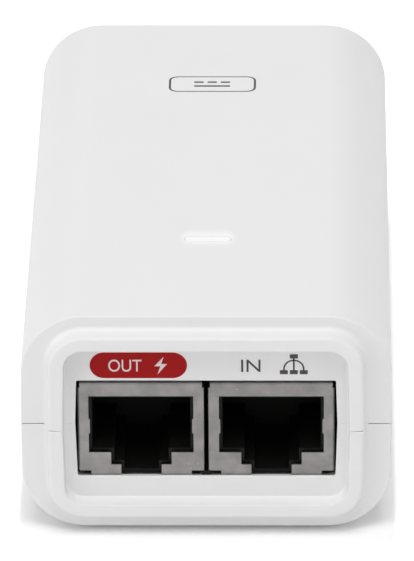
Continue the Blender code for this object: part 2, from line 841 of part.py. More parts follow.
def chip(name, length, width, height, legs, across, along, look, along_y=False):
    """A moulded package on two rows of legs that stand on the board."""
    low = SEAT_Z + CHIP_STAND_OFF
    body = block(
        name,
        (across - length / 2, along - width / 2 + CHIP_LEG, low),
        (across + length / 2, along + width / 2 - CHIP_LEG, low + height),
        look=look,
    )
    pitch = length / legs
    middle = low + height / 2
    feet = [
        (across + (i - (legs - 1) / 2) * pitch, along + side * (width - CHIP_LEG) / 2, (SEAT_Z + middle) / 2)
        for i in range(legs)
        for side in (-1, 1)
    ]
    rows = row_of_blocks(
        name + "_legs", (CHIP_LEG, CHIP_LEG * 1.2, middle - SEAT_Z), feet
    )
    boolean(body, "UNION", rows)
    return body


def disc(name, diameter, thickness, across, along, look, axis):
    """A coated disc that stands on its two leads."""
    middle = SEAT_Z + DISC_LIFT + diameter / 2
    body = rod(name, diameter / 2, thickness, (across, along, middle), axis, look=look)
    soften(body, thickness / 6)
    shift = DISC_LEAD_SPACING / 2
    leads = [
        (across + side * shift * (axis == "Y"), along + side * shift * (axis == "X"))
        for side in (-1, 1)
    ]
    for number, (x, y) in enumerate(leads):
        lead = rod(
            name + "_lead_" + str(number),
            DISC_LEAD_DIAMETER / 2,
            middle - SEAT_Z,
            (x, y, (middle + SEAT_Z) / 2),
            sides=8,
        )
        boolean(body, "UNION", lead)
    return body


# First row behind the jacks: one capacitor left of the light pipe, the magnetics right of it
row_side = board_half - BOARD_SIDE_GAP
row_front = JACK_BACK + PART_SPACING
row_y = row_front + OUTPUT_ROW / 2
can(
    "output_capacitor_left",
    OUTPUT_ROW,
    OUTPUT_CAPACITOR_HEIGHT,
    -row_side + OUTPUT_ROW / 2,
    row_y,
    CAN_SLEEVE,
)
chip(
    "lan_magnetics",
    MAGNETICS_LENGTH,
    MAGNETICS_WIDTH,
    MAGNETICS_HEIGHT,
    8,
    row_side - MAGNETICS_LENGTH / 2,
    row_y,
    CHIP_BLACK,
)

# Second row, the output filter: capacitor, inductor, rectifier
row_front = row_front + OUTPUT_ROW + PART_SPACING
row_y = row_front + OUTPUT_ROW / 2
can(
    "output_capacitor_right",
    OUTPUT_ROW,
    OUTPUT_CAPACITOR_HEIGHT,
    -row_side + OUTPUT_ROW / 2,
    row_y,
    CAN_SLEEVE,
)
inductor_radius = OUTPUT_ROW / 2
inductor_x = (OUTPUT_ROW - DIODE_LEAD_SPAN) / 2
turned(
    "output_inductor",
    [
        (0.0, INDUCTOR_HEIGHT),
        (inductor_radius, INDUCTOR_HEIGHT),
        (inductor_radius, INDUCTOR_HEIGHT * 0.88),
        (inductor_radius * 0.88, INDUCTOR_HEIGHT * 0.88),
        (inductor_radius * 0.88, INDUCTOR_HEIGHT * 0.12),
        (inductor_radius, INDUCTOR_HEIGHT * 0.12),
        (inductor_radius, 0.0),
        (0.0, 0.0),
    ],
    (inductor_x, row_y, SEAT_Z),
    look=FERRITE,
)
across = row_side - DIODE_LEAD_SPAN / 2
diode_z = SEAT_Z + DIODE_DIAMETER / 2 + SEAT_GAP
lead_half = (DIODE_LEAD_SPAN - DIODE_LEAD_DIAMETER) / 2
rectifier = rod(
    "output_rectifier",
    DIODE_DIAMETER / 2,
    DIODE_LENGTH,
    (across, row_y, diode_z),
    "X",
    look=CHIP_BLACK,
)
diode_lead = wire(
    "diode_lead",
    [
        (across - lead_half, row_y, SEAT_Z),
        (across - lead_half, row_y, diode_z),
        (across + lead_half, row_y, diode_z),
        (across + lead_half, row_y, SEAT_Z),
    ],
    DIODE_LEAD_DIAMETER / 2,
)
boolean(rectifier, "UNION", diode_lead)

# Third row: transformer on the left; bulk capacitor and controller on the right
row_front = row_front + OUTPUT_ROW + PART_SPACING
bulk_diameter = POWER_ROW - PART_SPACING - CONTROLLER_WIDTH
right_width = max(bulk_diameter, CONTROLLER_LENGTH)
middle_width = max(COUPLER_LENGTH, SAFETY_CAPACITOR_THICKNESS)
core_width = 2 * row_side - middle_width - right_width - 2 * PART_SPACING
core_length = POWER_ROW
side_leg = core_width * CORE_SIDE_LEG_SHARE
middle_leg = core_width * CORE_MIDDLE_LEG_SHARE
core_x = -row_side + core_width / 2
core_y = row_front + POWER_ROW / 2
core_z = SEAT_Z + BOBBIN_HEIGHT / 2
window_width = (core_width - middle_leg) / 2 - side_leg
window_half = core_length / 2 - core_length * CORE_YOKE_SHARE
transformer_core = block(
    "transformer_core",
    (core_x - core_width / 2, core_y - core_length / 2, core_z - CORE_THICKNESS / 2),
    (core_x + core_width / 2, core_y + core_length / 2, core_z + CORE_THICKNESS / 2),
    look=FERRITE,
)
for side in (-1, 1):
    middle = core_x + side * (middle_leg + window_width) / 2
    opening = block(
        "core_window_" + ("left" if side < 0 else "right"),
        (middle - window_width / 2, core_y - window_half, core_z - CORE_THICKNESS),
        (middle + window_width / 2, core_y + window_half, core_z + CORE_THICKNESS),
    )
    boolean(transformer_core, "DIFFERENCE", opening)
bobbin_half = middle_leg / 2 + window_width - FIT_GAP
bobbin_end = window_half - FIT_GAP
tunnel_half_x = middle_leg / 2 + FIT_GAP
tunnel_half_z = CORE_THICKNESS / 2 + FIT_GAP
bobbin = block(
    "transformer_bobbin",
    (core_x - bobbin_half, core_y - bobbin_end, SEAT_Z),
    (core_x + bobbin_half, core_y + bobbin_end, SEAT_Z + BOBBIN_HEIGHT),
    look=BLACK_MOULDING,
)
spool_x = tunnel_half_x + BOBBIN_WALL
spool_z = tunnel_half_z + BOBBIN_WALL
winding_end = bobbin_end - BOBBIN_WALL
spool_groove = block(
    "spool_groove",
    (core_x - 2 * bobbin_half, core_y - winding_end, SEAT_Z - BOBBIN_HEIGHT),
    (core_x + 2 * bobbin_half, core_y + winding_end, SEAT_Z + 2 * BOBBIN_HEIGHT),
)
spool = block(
    "spool",
    (core_x - spool_x, core_y - bobbin_end + BOBBIN_WALL / 2, core_z - spool_z),
    (core_x + spool_x, core_y + bobbin_end - BOBBIN_WALL / 2, core_z + spool_z),
)
tunnel = block(
    "tunnel",
    (core_x - tunnel_half_x, core_y - core_length, core_z - tunnel_half_z),
    (core_x + tunnel_half_x, core_y + core_length, core_z + tunnel_half_z),
)
boolean(bobbin, "DIFFERENCE", spool_groove)
boolean(bobbin, "UNION", spool)
boolean(bobbin, "DIFFERENCE", tunnel)
winding_half = bobbin_half - WINDING_INSET
winding = block(
    "transformer_winding",
    (
        core_x - winding_half,
        core_y - winding_end + FIT_GAP,
        SEAT_Z + WINDING_INSET,
    ),
    (
        core_x + winding_half,
        core_y + winding_end - FIT_GAP,
        SEAT_Z + BOBBIN_HEIGHT - WINDING_INSET,
    ),
    look=TAPE,
)
winding_hole = block(
    "winding_hole",
    (core_x - spool_x - FIT_GAP, core_y - core_length, core_z - spool_z - FIT_GAP),
    (core_x + spool_x + FIT_GAP, core_y + core_length, core_z + spool_z + FIT_GAP),
)
boolean(winding, "DIFFERENCE", winding_hole)
across = core_x + core_width / 2 + PART_SPACING + middle_width / 2
chip(
    "optocoupler",
    COUPLER_LENGTH,
    COUPLER_WIDTH,
    CHIP_HEIGHT,
    2,
    across,
    row_front + COUPLER_WIDTH / 2,
    CHIP_BLACK,
)
disc(
    "safety_capacitor",
    SAFETY_CAPACITOR_DIAMETER,
    SAFETY_CAPACITOR_THICKNESS,
    across,
    row_front + COUPLER_WIDTH + PART_SPACING + SAFETY_CAPACITOR_DIAMETER / 2,
    BLUE_COAT,
    "X",
)
across += middle_width / 2 + PART_SPACING + right_width / 2
chip(
    "controller",
    CONTROLLER_LENGTH,
    CONTROLLER_WIDTH,
    CHIP_HEIGHT,
    4,
    across,
    row_front + CONTROLLER_WIDTH / 2,
    CHIP_BLACK,
)
can(
    "bulk_capacitor",
    bulk_diameter,
    HEAD_ROOM - HEAD_CLEARANCE,
    across,
    row_front + CONTROLLER_WIDTH + PART_SPACING + bulk_diameter / 2,
    CAN_SLEEVE,
)

# Fourth row, the mains filter: film capacitor, common-mode choke, bridge
row_front = row_front + POWER_ROW + PART_SPACING
row_y = row_front + FILTER_ROW / 2
flat_depth = FILTER_ROW - PART_SPACING
choke_reach = CHOKE_OUTER_RADIUS + FIT_GAP + CHOKE_WIRE_LAYER
choke_half = FILTER_ROW / 2
choke_thickness = FILTER_ROW - 2 * (FIT_GAP + CHOKE_WIRE_LAYER)
film_length = 2 * row_side - 2 * choke_reach - BRIDGE_LENGTH - 2 * PART_SPACING
film_capacitor = block(
    "film_capacitor",
    (-row_side, row_y - flat_depth / 2, SEAT_Z),
    (-row_side + film_length, row_y + flat_depth / 2, SEAT_Z + FILM_CAPACITOR_HEIGHT),
    look=FILM_BOX,
)
soften(film_capacitor, 0.0004)
across = -row_side + film_length + PART_SPACING + choke_reach
choke_middle = (across, row_y, SEAT_Z + choke_reach)
choke_core = rod(
    "choke_core", CHOKE_OUTER_RADIUS, choke_thickness, choke_middle, "Y", 24, look=FERRITE
)
choke_bore = rod(
    "choke_bore", CHOKE_INNER_RADIUS, 2 * choke_thickness, choke_middle, "Y", 24
)
boolean(choke_core, "DIFFERENCE", choke_bore)
sleeve_bore = rod(
    "sleeve_bore",
    CHOKE_INNER_RADIUS - FIT_GAP - CHOKE_WIRE_LAYER,
    2 * choke_thickness,
    choke_middle,
    "Y",
    24,
)
sleeve_room = rod(
    "sleeve_room",
    CHOKE_OUTER_RADIUS + FIT_GAP,
    choke_thickness + 2 * FIT_GAP,
    choke_middle,
    "Y",
    24,
)
sleeve_plug = rod(
    "sleeve_plug", CHOKE_INNER_RADIUS - FIT_GAP, 3 * choke_thickness, choke_middle, "Y", 24
)
boolean(sleeve_room, "DIFFERENCE", sleeve_plug)
for side, hand in ((-1, "left"), (1, "right")):
    coil = rod(
        "choke_winding_" + hand,
        choke_reach,
        2 * choke_half,
        choke_middle,
        "Y",
        24,
        look=COPPER,
    )
    other_side = choke_middle[0] + side * CHOKE_SPLIT / 2
    beyond = choke_middle[0] - side * 2 * choke_reach
    trim = block(
        "choke_trim_" + hand,
        (min(other_side, beyond), row_y - 2 * choke_half, SEAT_Z - choke_reach),
        (max(other_side, beyond), row_y + 2 * choke_half, SEAT_Z + 3 * choke_reach),
    )
    boolean(coil, "DIFFERENCE", sleeve_room, sleeve_bore, trim)
across += choke_reach + PART_SPACING + BRIDGE_LENGTH / 2
chip(
    "bridge_rectifier",
    BRIDGE_LENGTH,
    flat_depth,
    CHIP_HEIGHT,
    2,
    across,
    row_y,
    CHIP_BLACK,
)

# Beside the inlet: the fuse on the left and the surge disc on the right
side_start = INLET_WIDTH / 2 + INLET_FLANGE_MARGIN + PART_SPACING
rear_y = CAVITY_REAR - PART_SPACING
beside_inlet = (side_start + row_side) / 2
fuse_z = SEAT_Z + FUSE_DIAMETER / 2
fuse = rod(
    "fuse",
    FUSE_DIAMETER / 2,
    FUSE_LENGTH,
    (-beside_inlet, rear_y - FUSE_LENGTH / 2, fuse_z),
    "Y",
    16,
    look=CERAMIC,
)
soften(fuse, 0.0003)
disc(
    "varistor",
    VARISTOR_DIAMETER,
    VARISTOR_THICKNESS,
    beside_inlet,
    rear_y - VARISTOR_DIAMETER / 2,
    BLUE_COAT,
    "X",
)
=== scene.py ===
import math

import bmesh
import bpy
import numpy as np
from mathutils import Matrix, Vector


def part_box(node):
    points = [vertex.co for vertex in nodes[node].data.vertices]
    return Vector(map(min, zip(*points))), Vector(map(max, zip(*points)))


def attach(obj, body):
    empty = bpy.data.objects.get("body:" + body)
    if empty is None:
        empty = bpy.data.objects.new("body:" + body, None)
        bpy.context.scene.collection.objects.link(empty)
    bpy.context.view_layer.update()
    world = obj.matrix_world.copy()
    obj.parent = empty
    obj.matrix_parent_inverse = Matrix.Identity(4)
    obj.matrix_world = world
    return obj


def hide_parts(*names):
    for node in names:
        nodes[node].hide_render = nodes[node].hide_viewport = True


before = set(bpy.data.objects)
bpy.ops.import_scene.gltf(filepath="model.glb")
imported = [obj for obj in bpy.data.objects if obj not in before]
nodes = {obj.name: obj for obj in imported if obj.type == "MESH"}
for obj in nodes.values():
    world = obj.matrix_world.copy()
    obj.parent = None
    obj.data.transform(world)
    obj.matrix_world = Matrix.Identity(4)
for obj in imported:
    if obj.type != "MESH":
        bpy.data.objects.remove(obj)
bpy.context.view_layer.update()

# Lower shell: the tray of the case, white moulded ABS about 2 mm thick with a fine spark
# texture. It carries half of the raised rim and recess round the jacks. The upper shell is
# clipped and welded on along the parting line, whose two edges are slightly broken.
MM = 0.001
PARTING = 14.5
PARTING_GAP, TIGHT_GAP, BROKEN_EDGE = 0.12, 0.02, 0.08
FRONT, REAR = -43.5, 43.5
PANEL = -41.4
SHOULDER = -41.5
JACK_LIP, LIP_STEP = -41.05, 0.3
INSIDE_FRONT, INSIDE_REAR = -39.6, 41.5
LID, WALL, INLET_Z = 29.56, 2.0, 15.3
# roundings of the edges from the jack opening to the inlet opening
LIP_ROUND, RECESS_ROUND, BODY_ROUND, REAR_ROUND, INLET_ROUND = 0.10, 0.16, 0.28, 0.60, 0.15
RIM_ROUND_IN, RIM_ROUND_BACK, COVE_UP, COVE_OUT = 0.46, 0.50, 1.10, 0.70
# how far the recess and the rim's side lean out of square
RECESS_LEAN, RECESS_LEAN_STEP, RIM_LEAN, COVE_LEAN, SHOULDER_LEAN = 0.12, 0.01, 0.08, 0.05, 0.12
# half width, half height, corner radius, middle height, draft of the sides
JACK_HOLE = np.array([16.26, 6.725, 0.25, 13.775, 0.030])
RECESS = np.array([17.76, 10.76, 2.35, 14.81, 0.022])
RIM = np.array([19.62, 12.67, 4.35, 14.84, 0.014])
BODY = np.array([23.0, LID / 2, 8.0, LID / 2, 0.010])
INLET_HOLE = np.array([10.45, 7.65, 0.8, INLET_Z, 0.0])
INSIDE = BODY - np.array([WALL, WALL, WALL, 0.0, 0.0])


class Sock:
    """A shader socket with arithmetic. Operators make Math nodes, and make() makes any other
    node."""

    def __init__(self, tree, out):
        self.tree, self.out = tree, out

    def make(self, kind, inputs=None, out=0, **settings):
        """Any node of a kind, with inputs by name or number, as the socket of one output."""
        node = self.tree.nodes.new("ShaderNode" + kind)
        for key, value in settings.items():
            setattr(node, key, value)
        for key, value in (inputs or {}).items():
            if isinstance(value, Sock):
                self.tree.links.new(value.out, node.inputs[key])
            else:
                node.inputs[key].default_value = value
        return Sock(self.tree, node.outputs[out])

    def math(self, operation, *values):
        """A Math node over the values, which are numbers or sockets."""
        return self.make("Math", dict(enumerate(values)), operation=operation)

    def __add__(self, other):
        return self.math("ADD", self, other)

    def __sub__(self, other):
        return self.math("SUBTRACT", self, other)

    def __rsub__(self, other):
        return self.math("SUBTRACT", other, self)

    def __mul__(self, other):
        return self.math("MULTIPLY", self, other)

    def __truediv__(self, other):
        return self.math("DIVIDE", self, other)

    def __rtruediv__(self, other):
        return self.math("DIVIDE", other, self)

    def __pow__(self, other):
        return self.math("POWER", self, other)

    def __abs__(self):
        return self.math("ABSOLUTE", self)

    def __neg__(self):
        return self.math("MULTIPLY", self, -1.0)

    __radd__ = __add__
    __rmul__ = __mul__

    def above(self, level, soft):
        """0 below the level and 1 above it, over a soft width."""
        inputs = {"Value": self, "From Min": level - soft / 2, "From Max": level + soft / 2}
        return self.make("MapRange", inputs, interpolation_type="SMOOTHSTEP")

    def noise(self, size, detail=2.0, stretch=(1.0, 1.0, 1.0)):
        """Noise from 0 to 1 with features of about this size in metres."""
        inputs = {0: self, 1: tuple(1.0 / (size * s) for s in stretch)}
        scaled = self.make("VectorMath", inputs, operation="MULTIPLY")
        return self.make("TexNoise", {"Vector": scaled, "Scale": 1.0, "Detail": detail})

    def between(self, first, second):
        """A colour mixed from two by this value. Each is three numbers or a socket, and goes to
        one of the Mix node's colour inputs, 6 and 7."""
        ends = [end if isinstance(end, Sock) else (*end, 1.0) for end in (first, second)]
        return self.make("Mix", {0: self, 6: ends[0], 7: ends[1]}, 2, data_type="RGBA")

    def bump(self, depth):
        """A normal from this height, whose full range is depth in metres."""
        return self.make("Bump", {"Height": self, "Distance": depth})


def material(name, look, **constants):
    """A Principled material. look(p) gets the Object coordinates and returns the varying
    inputs by socket name. Constants are set on the shader's own sockets."""
    made = bpy.data.materials.new(name)
    made.use_nodes = True
    tree = made.node_tree
    shader = tree.nodes["Principled BSDF"]
    for key, value in constants.items():
        shader.inputs[key.replace("_", " ")].default_value = value
    place = tree.nodes.new("ShaderNodeTexCoord").outputs["Object"]
    for key, socket in look(Sock(tree, place)).items():
        tree.links.new(socket.out, shader.inputs[key])
    return made


def moulded(name, pale, deep, rough, grain=0.22 * MM, depth=0.004 * MM, extra=None, **constants):
    """Moulded plastic: slight flow mottling in the colour, a fine eroded grain in the bump and
    a roughness that wanders with both. extra(p) may add further varying inputs."""

    def look(p):
        flow = p.noise(14 * MM, 3.0)
        fine = p.noise(grain, 3.0)
        found = {
            "Base Color": (flow * 0.7 + fine * 0.3).between(pale, deep),
            "Roughness": rough - 0.06 + flow * 0.06 + fine * 0.06,
            "Normal": fine.bump(depth),
        }
        return found | (extra(p) if extra else {})

    return material(name, look, **constants)


def skin(name, *tubes, ring=False):
    """A closed mesh over tubes. A tube is an array (rows, points, 3) of closed loops: quads
    join each row to the next, and one face closes each end. A ring joins its last row to its
    first instead."""
    verts, faces, start = [], [], 0
    for tube in tubes:
        rows, count = tube.shape[:2]
        at = start + np.arange(rows * count).reshape(rows, count)
        if ring:
            at = np.concatenate([at, at[:1]])
        turn = np.roll(at, -1, axis=1)
        quads = np.stack([at[:-1], turn[:-1], turn[1:], at[1:]], axis=-1)
        faces += quads.reshape(-1, 4).tolist()
        if not ring:
            faces += [at[0, ::-1].tolist(), at[-1].tolist()]
        verts.append(tube.reshape(-1, 3))
        start += rows * count
    mesh = bpy.data.meshes.new(name)
    mesh.from_pydata((np.concatenate(verts) * MM).tolist(), [], faces)
    form = bmesh.new()
    form.from_mesh(mesh)
    bmesh.ops.recalc_face_normals(form, faces=form.faces)
    form.to_mesh(mesh)
    form.free()
    piece = bpy.data.objects.new(name, mesh)
    bpy.context.scene.collection.objects.link(piece)
    return piece


SHARP_FROM, BROKEN_FROM = math.radians(35.0), math.radians(50.0)


def finish(piece, made, body, replaced=(), edge=0.0):
    """Smooth faces, broken edges, the material, and the calls that tie a piece to the frame."""
    mesh = piece.data
    mesh.shade_smooth()
    mesh.set_sharp_from_angle(angle=SHARP_FROM)
    if edge:
        bevel = piece.modifiers.new("edges", "BEVEL")
        bevel.width = edge * MM
        bevel.segments = 2
        bevel.limit_method = "ANGLE"
        bevel.angle_limit = BROKEN_FROM
        bevel.use_clamp_overlap = True
    even = piece.modifiers.new("normals", "WEIGHTED_NORMAL")
    even.keep_sharp = True
    mesh.materials.append(made)
    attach(piece, body)
    if replaced:
        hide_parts(*replaced)


def bend(base, start, knee, end, steps=6):
    """Stations on a parabola from start to end, which leaves towards the knee and arrives from
    it. Each of the three is a place along the case and a growth of the base outline."""
    part = np.linspace(0.0, 1.0, steps + 1)[:, None]
    place = (1 - part) ** 2 * start + 2 * part * (1 - part) * np.array(knee) + part ** 2 * end
    sizes = base + place[:, 1:] * np.array([1.0, 1.0, 1.0, 0.0, 0.0])
    return np.column_stack([place[:, 0], sizes])


def case_stations():
    """The closed wall profile of the case as stations (y, half width, half height, corner
    radius, middle, draft): from the jack opening out over panel, recess, rim, slope, shoulder
    and body to the inlet opening, then back along the inside."""

    def flat(y, base):
        """One station: a place along the case and the sizes there."""
        return np.array([[y, *base]])

    behind_lip = JACK_HOLE + np.array([LIP_STEP, LIP_STEP, 0.0, 0.0, 0.0])
    recess_foot, recess_side = -RECESS_LEAN - RECESS_ROUND, RECESS_LEAN_STEP - RECESS_LEAN
    return np.concatenate([
        flat(INSIDE_FRONT, behind_lip),
        flat(JACK_LIP, behind_lip),
        flat(JACK_LIP, JACK_HOLE),
        bend(JACK_HOLE, (PANEL + LIP_ROUND, 0.0), (PANEL, 0.0), (PANEL, LIP_ROUND), 3),
        bend(RECESS, (PANEL, recess_foot), (PANEL, -RECESS_LEAN), (PANEL - RECESS_ROUND, recess_side)),
        bend(RECESS, (FRONT + RECESS_ROUND, -RECESS_LEAN_STEP), (FRONT, 0.0), (FRONT, RECESS_ROUND)),
        bend(RIM, (FRONT, -RIM_ROUND_IN), (FRONT, -RIM_LEAN), (FRONT + RIM_ROUND_BACK, 0.0)),
        bend(RIM, (SHOULDER - COVE_UP, COVE_LEAN), (SHOULDER, SHOULDER_LEAN), (SHOULDER, COVE_OUT), 12),
        bend(BODY, (SHOULDER, -BODY_ROUND), (SHOULDER, 0.0), (SHOULDER + BODY_ROUND, 0.0), 8),
        bend(BODY, (REAR - REAR_ROUND, 0.0), (REAR, 0.0), (REAR, -REAR_ROUND), 8),
        bend(INLET_HOLE, (REAR, INLET_ROUND), (REAR, 0.0), (REAR - INLET_ROUND, 0.0), 3),
        flat(INSIDE_REAR, INLET_HOLE),
        flat(INSIDE_REAR, INSIDE),
        flat(INSIDE_FRONT, INSIDE),
    ])


def half_case(side):
    """Rows of the wall profile carried round half of the case, from the right parting edge
    over the lid or the floor to the left one. On the straight side z runs from the parting to
    the corner; on the corner x = a - r + r cos and z = b - r + r sin; on the flat x runs to
    the middle. Draft narrows x with the distance from the parting. Outside the recess, save on
    the rim's side, the parting edge is broken: its first row lies in the wall, against the
    profile's normal."""
    y, a, b, r, middle, draft = case_stations().T
    rim_side = (y > FRONT + 0.2) & (y < SHOULDER - 0.05)
    outside = (a > RECESS[0] + 1.0) & ~rim_side
    gap = np.where(outside, PARTING_GAP, TIGHT_GAP) / 2
    sunk = np.where(outside, BROKEN_EDGE, 0.0)
    step_a, step_y = (np.roll(line, -1) - np.roll(line, 1) for line in (a, y))
    length = np.hypot(step_a, step_y)
    edge = PARTING + side * (gap + sunk)
    shoulder = middle + side * (b - r)
    turn = np.linspace(0.0, math.pi / 2, 19)[1:, None]
    up = np.linspace(0.0, 1.0, 5)[:, None]
    out = np.linspace(1.0, 0.0, 5)[1:, None]
    x = np.concatenate([
        [a - sunk * step_y / length],
        up * 0 + a,
        a - r + r * np.cos(turn),
        out * (a - r),
    ])
    z = np.concatenate([
        [PARTING + side * gap],
        edge + (shoulder - edge) * up,
        shoulder + side * r * np.sin(turn),
        out * 0 + middle + side * b,
    ])
    y = y + 0 * x
    y[0] += sunk * step_a / length
    x = x * (1.0 - draft * np.abs(z - PARTING) / a)
    return np.stack([
        np.concatenate([x, -x[-2::-1]]),
        np.concatenate([y, y[-2::-1]]),
        np.concatenate([z, z[-2::-1]]),
    ], axis=-1)


SHELL_PALE, SHELL_DEEP = (0.813, 0.812, 0.813), (0.793, 0.792, 0.793)
SHELL_ROUGH, SHELL_IOR = 0.50, 1.46
shell_plain = moulded("shell_white", SHELL_PALE, SHELL_DEEP, SHELL_ROUGH, IOR=SHELL_IOR)
lower_shell = skin("lower_shell", half_case(-1))
finish(lower_shell, shell_plain, "injector", ("bottom_case",))

# Upper shell: the lid half of the case, moulded in the same white ABS. A slot through the lid
# takes the head of the light bar. Round the slot the wall has a painted glow: emission that stands
# for the lamp's light, which white plastic lets through.
LAMP_Y = -20.4
GLOW, GLOW_REACH, GLOW_NARROW = 0.100, 1.15 * MM, 1.6
GLOW_Y, GLOW_FROM, GLOW_RISE = LAMP_Y + 0.3, 29.0 * MM, 0.4 * MM
BAR_HALF, BAR_SIDE = 2.87, 0.71
# height, play between the slot and the bar: the slot's mouth is rounded
SLOT = ((LID - 4.0, 0.08), (LID - 0.10, 0.08), (LID - 0.03, 0.11), (LID, 0.17), (LID + 0.2, 0.37))


def stadium(half, side, middle, steps=12):
    """The outline of a slot with round ends: two half circles of radius side whose middles lie
    half - side from the middle."""
    turn = np.linspace(-math.pi / 2, math.pi / 2, steps + 1)
    across = half - side + side * np.cos(turn)
    up = side * np.sin(turn)
    outline = np.column_stack([np.append(across, -across), np.append(up, -up)])
    return outline + np.array(middle)


def bar_loop(z, half, side):
    """The slot's outline about the lamp, at one height."""
    outline = stadium(half, side, (0.0, LAMP_Y))
    return np.column_stack([outline, np.full(len(outline), z)])


def carve(piece, cutter):
    """Cut one closed piece out of another and keep the result as plain mesh."""
    cut = piece.modifiers.new("cut", "BOOLEAN")
    cut.operation = "DIFFERENCE"
    cut.solver = "EXACT"
    cut.object = cutter
    bpy.context.view_layer.update()
    graph = bpy.context.evaluated_depsgraph_get()
    whole = piece.data
    piece.data = bpy.data.meshes.new_from_object(piece.evaluated_get(graph))
    piece.data.name = piece.name
    piece.modifiers.clear()
    bpy.data.meshes.remove(whole)
    bpy.data.objects.remove(cutter, do_unlink=True)


def painted_lamp_glow(p):
    """Painted glow on the lid, emission standing for light through it: it falls off as a bell curve of
    the distance to the bar's edge. The lamp leans a little, so the glow lies more behind the bar than
    before it, and less beside it."""
    x, y, z = (p.make("SeparateXYZ", {0: p}, axis) for axis in range(3))
    beyond = (abs(x) - (BAR_HALF - BAR_SIDE) * MM) * GLOW_NARROW
    beyond = beyond.math("MAXIMUM", beyond, 0.0)
    away = (beyond ** 2.0 + (y - GLOW_Y * MM) ** 2.0) ** 0.5 - BAR_SIDE * MM
    spread = away.math("MAXIMUM", away, 0.0) / GLOW_REACH
    fall = spread.math("EXPONENT", -(spread ** 2.0))
    glow = fall * z.above(GLOW_FROM, GLOW_RISE) * GLOW
    return {"Emission Color": glow.between((0.0, 0.0, 0.0), (1.0, 1.0, 1.0))}


# the lid's white plastic, with the painted glow round the slot
shell_lit = moulded(
    "shell_white_lid_painted_glow", SHELL_PALE, SHELL_DEEP, SHELL_ROUGH, extra=painted_lamp_glow,
    IOR=SHELL_IOR, Emission_Strength=1.0,
)
upper_shell = skin("upper_shell", half_case(1))
slot_rows = np.stack([bar_loop(z, BAR_HALF + play, BAR_SIDE + play) for z, play in SLOT])
carve(upper_shell, skin("slot_cutter", slot_rows))
finish(upper_shell, shell_lit, "injector", ("top_case",))

# Light bar: a clear polycarbonate light pipe, frosted by the lamp's glow. Its stem stands over
# the lamp on the board, a flange stops it under the lid and its round-ended head fills the slot.
LAMP_GAP, BAR_ROUND = 0.3, 0.12
LIT_FROM, LIT_RISE = 28.6 * MM, 1.0 * MM
lamp_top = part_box("indicator_lamp")[1][2] / MM + LAMP_GAP
# height, half length, half width: the stem, the flange and the head
bar_rows = (
    (lamp_top, 2.25, 0.60), (26.0, 2.30, 0.62), (26.3, 2.40, 0.70),
    (26.3, 3.80, 1.60), (26.4, 3.90, 1.70), (27.2, 3.90, 1.70), (27.3, 3.80, 1.60),
    (27.3, BAR_HALF, BAR_SIDE),
    (LID - BAR_ROUND, BAR_HALF, BAR_SIDE),
    (LID - BAR_ROUND / 3, BAR_HALF - BAR_ROUND / 3, BAR_SIDE - BAR_ROUND / 3),
    (LID, BAR_HALF - BAR_ROUND, BAR_SIDE - BAR_ROUND),
)


def lit_look(p):
    """A guide that shines in its head: the light comes up with the height and is dimmed a little
    by the ripple that also varies the colour and the roughness."""
    ripple = p.noise(0.9 * MM, 2.0)
    head = p.make("SeparateXYZ", {0: p}, 2).above(LIT_FROM, LIT_RISE)
    return {
        "Base Color": ripple.between((0.86, 0.86, 0.87), (0.83, 0.83, 0.84)),
        "Roughness": 0.30 + ripple * 0.10,
        "Emission Color": (head - head * ripple * 0.10).between((0.0, 0.0, 0.0), (0.075, 0.075, 0.075)),
    }


light_guide = material("light_guide", lit_look, Emission_Strength=1.0)
light_bar = skin("light_bar", np.stack([bar_loop(*row) for row in bar_rows]))
finish(light_bar, light_guide, "injector", ("light_pipe",))

# Prints on the panel and the lid: pad-printed ink, a few hundredths of a millimetre thick. Red
# pill with white signs over the fed port, dark signs over the other one, and a fine outlined
# badge on the lid. The signs are generic: OUT, IN, a bolt, a network tree and direct current.
INK, INK_SUNK = 0.02, 0.01


def slab(outline, low, high, face="front"):
    """A flat outline as a thin slab: on the panel (x, z) between two y, on the lid (x, y)
    between two z."""
    flat = np.asarray(outline, float)
    rows = [np.insert(flat, 1 if face == "front" else 2, level, axis=1) for level in (low, high)]
    return np.stack(rows)


def box_outline(left, right, low, high):
    """The four corners of a rectangle, given by its four sides."""
    return [(left, low), (right, low), (right, high), (left, high)]


def arch(middle, radius, width):
    """The upper half of a flat ring: out along the outer radius and back along the inner one."""
    turn = np.linspace(0.0, math.pi, 21)
    ray = np.column_stack([np.cos(turn), np.sin(turn)])
    outer, inner = ray * (radius + width / 2), ray * (radius - width / 2)
    return np.concatenate([outer, inner[::-1]]) + np.array(middle)


def word(name, text, low, high, y):
    """Plain letters as a thin mesh, fitted to a box on the panel: each point's share of the
    drawn word's width and height gives its place in the box."""
    curve = bpy.data.curves.new(name, "FONT")
    curve.body = text
    curve.extrude = 0.01
    drawn = bpy.data.objects.new(name, curve)
    bpy.context.scene.collection.objects.link(drawn)
    bpy.context.view_layer.update()
    graph = bpy.context.evaluated_depsgraph_get()
    mesh = bpy.data.meshes.new_from_object(drawn.evaluated_get(graph))
    bpy.data.objects.remove(drawn, do_unlink=True)
    form = bmesh.new()
    form.from_mesh(mesh)
    bmesh.ops.remove_doubles(form, verts=form.verts, dist=1e-5)
    form.to_mesh(mesh)
    form.free()
    points = np.empty(3 * len(mesh.vertices))
    mesh.vertices.foreach_get("co", points)
    points = points.reshape(-1, 3)
    span = points.max(axis=0) - points.min(axis=0)
    unit = (points - points.min(axis=0)) / span
    placed = np.column_stack([
        low[0] + unit[:, 0] * (high[0] - low[0]),
        y - unit[:, 2] * INK,
        low[1] + unit[:, 1] * (high[1] - low[1]),
    ])
    mesh.vertices.foreach_set("co", (placed * MM).ravel())
    mesh.materials.clear()
    piece = bpy.data.objects.new(name, mesh)
    bpy.context.scene.collection.objects.link(piece)
    return piece


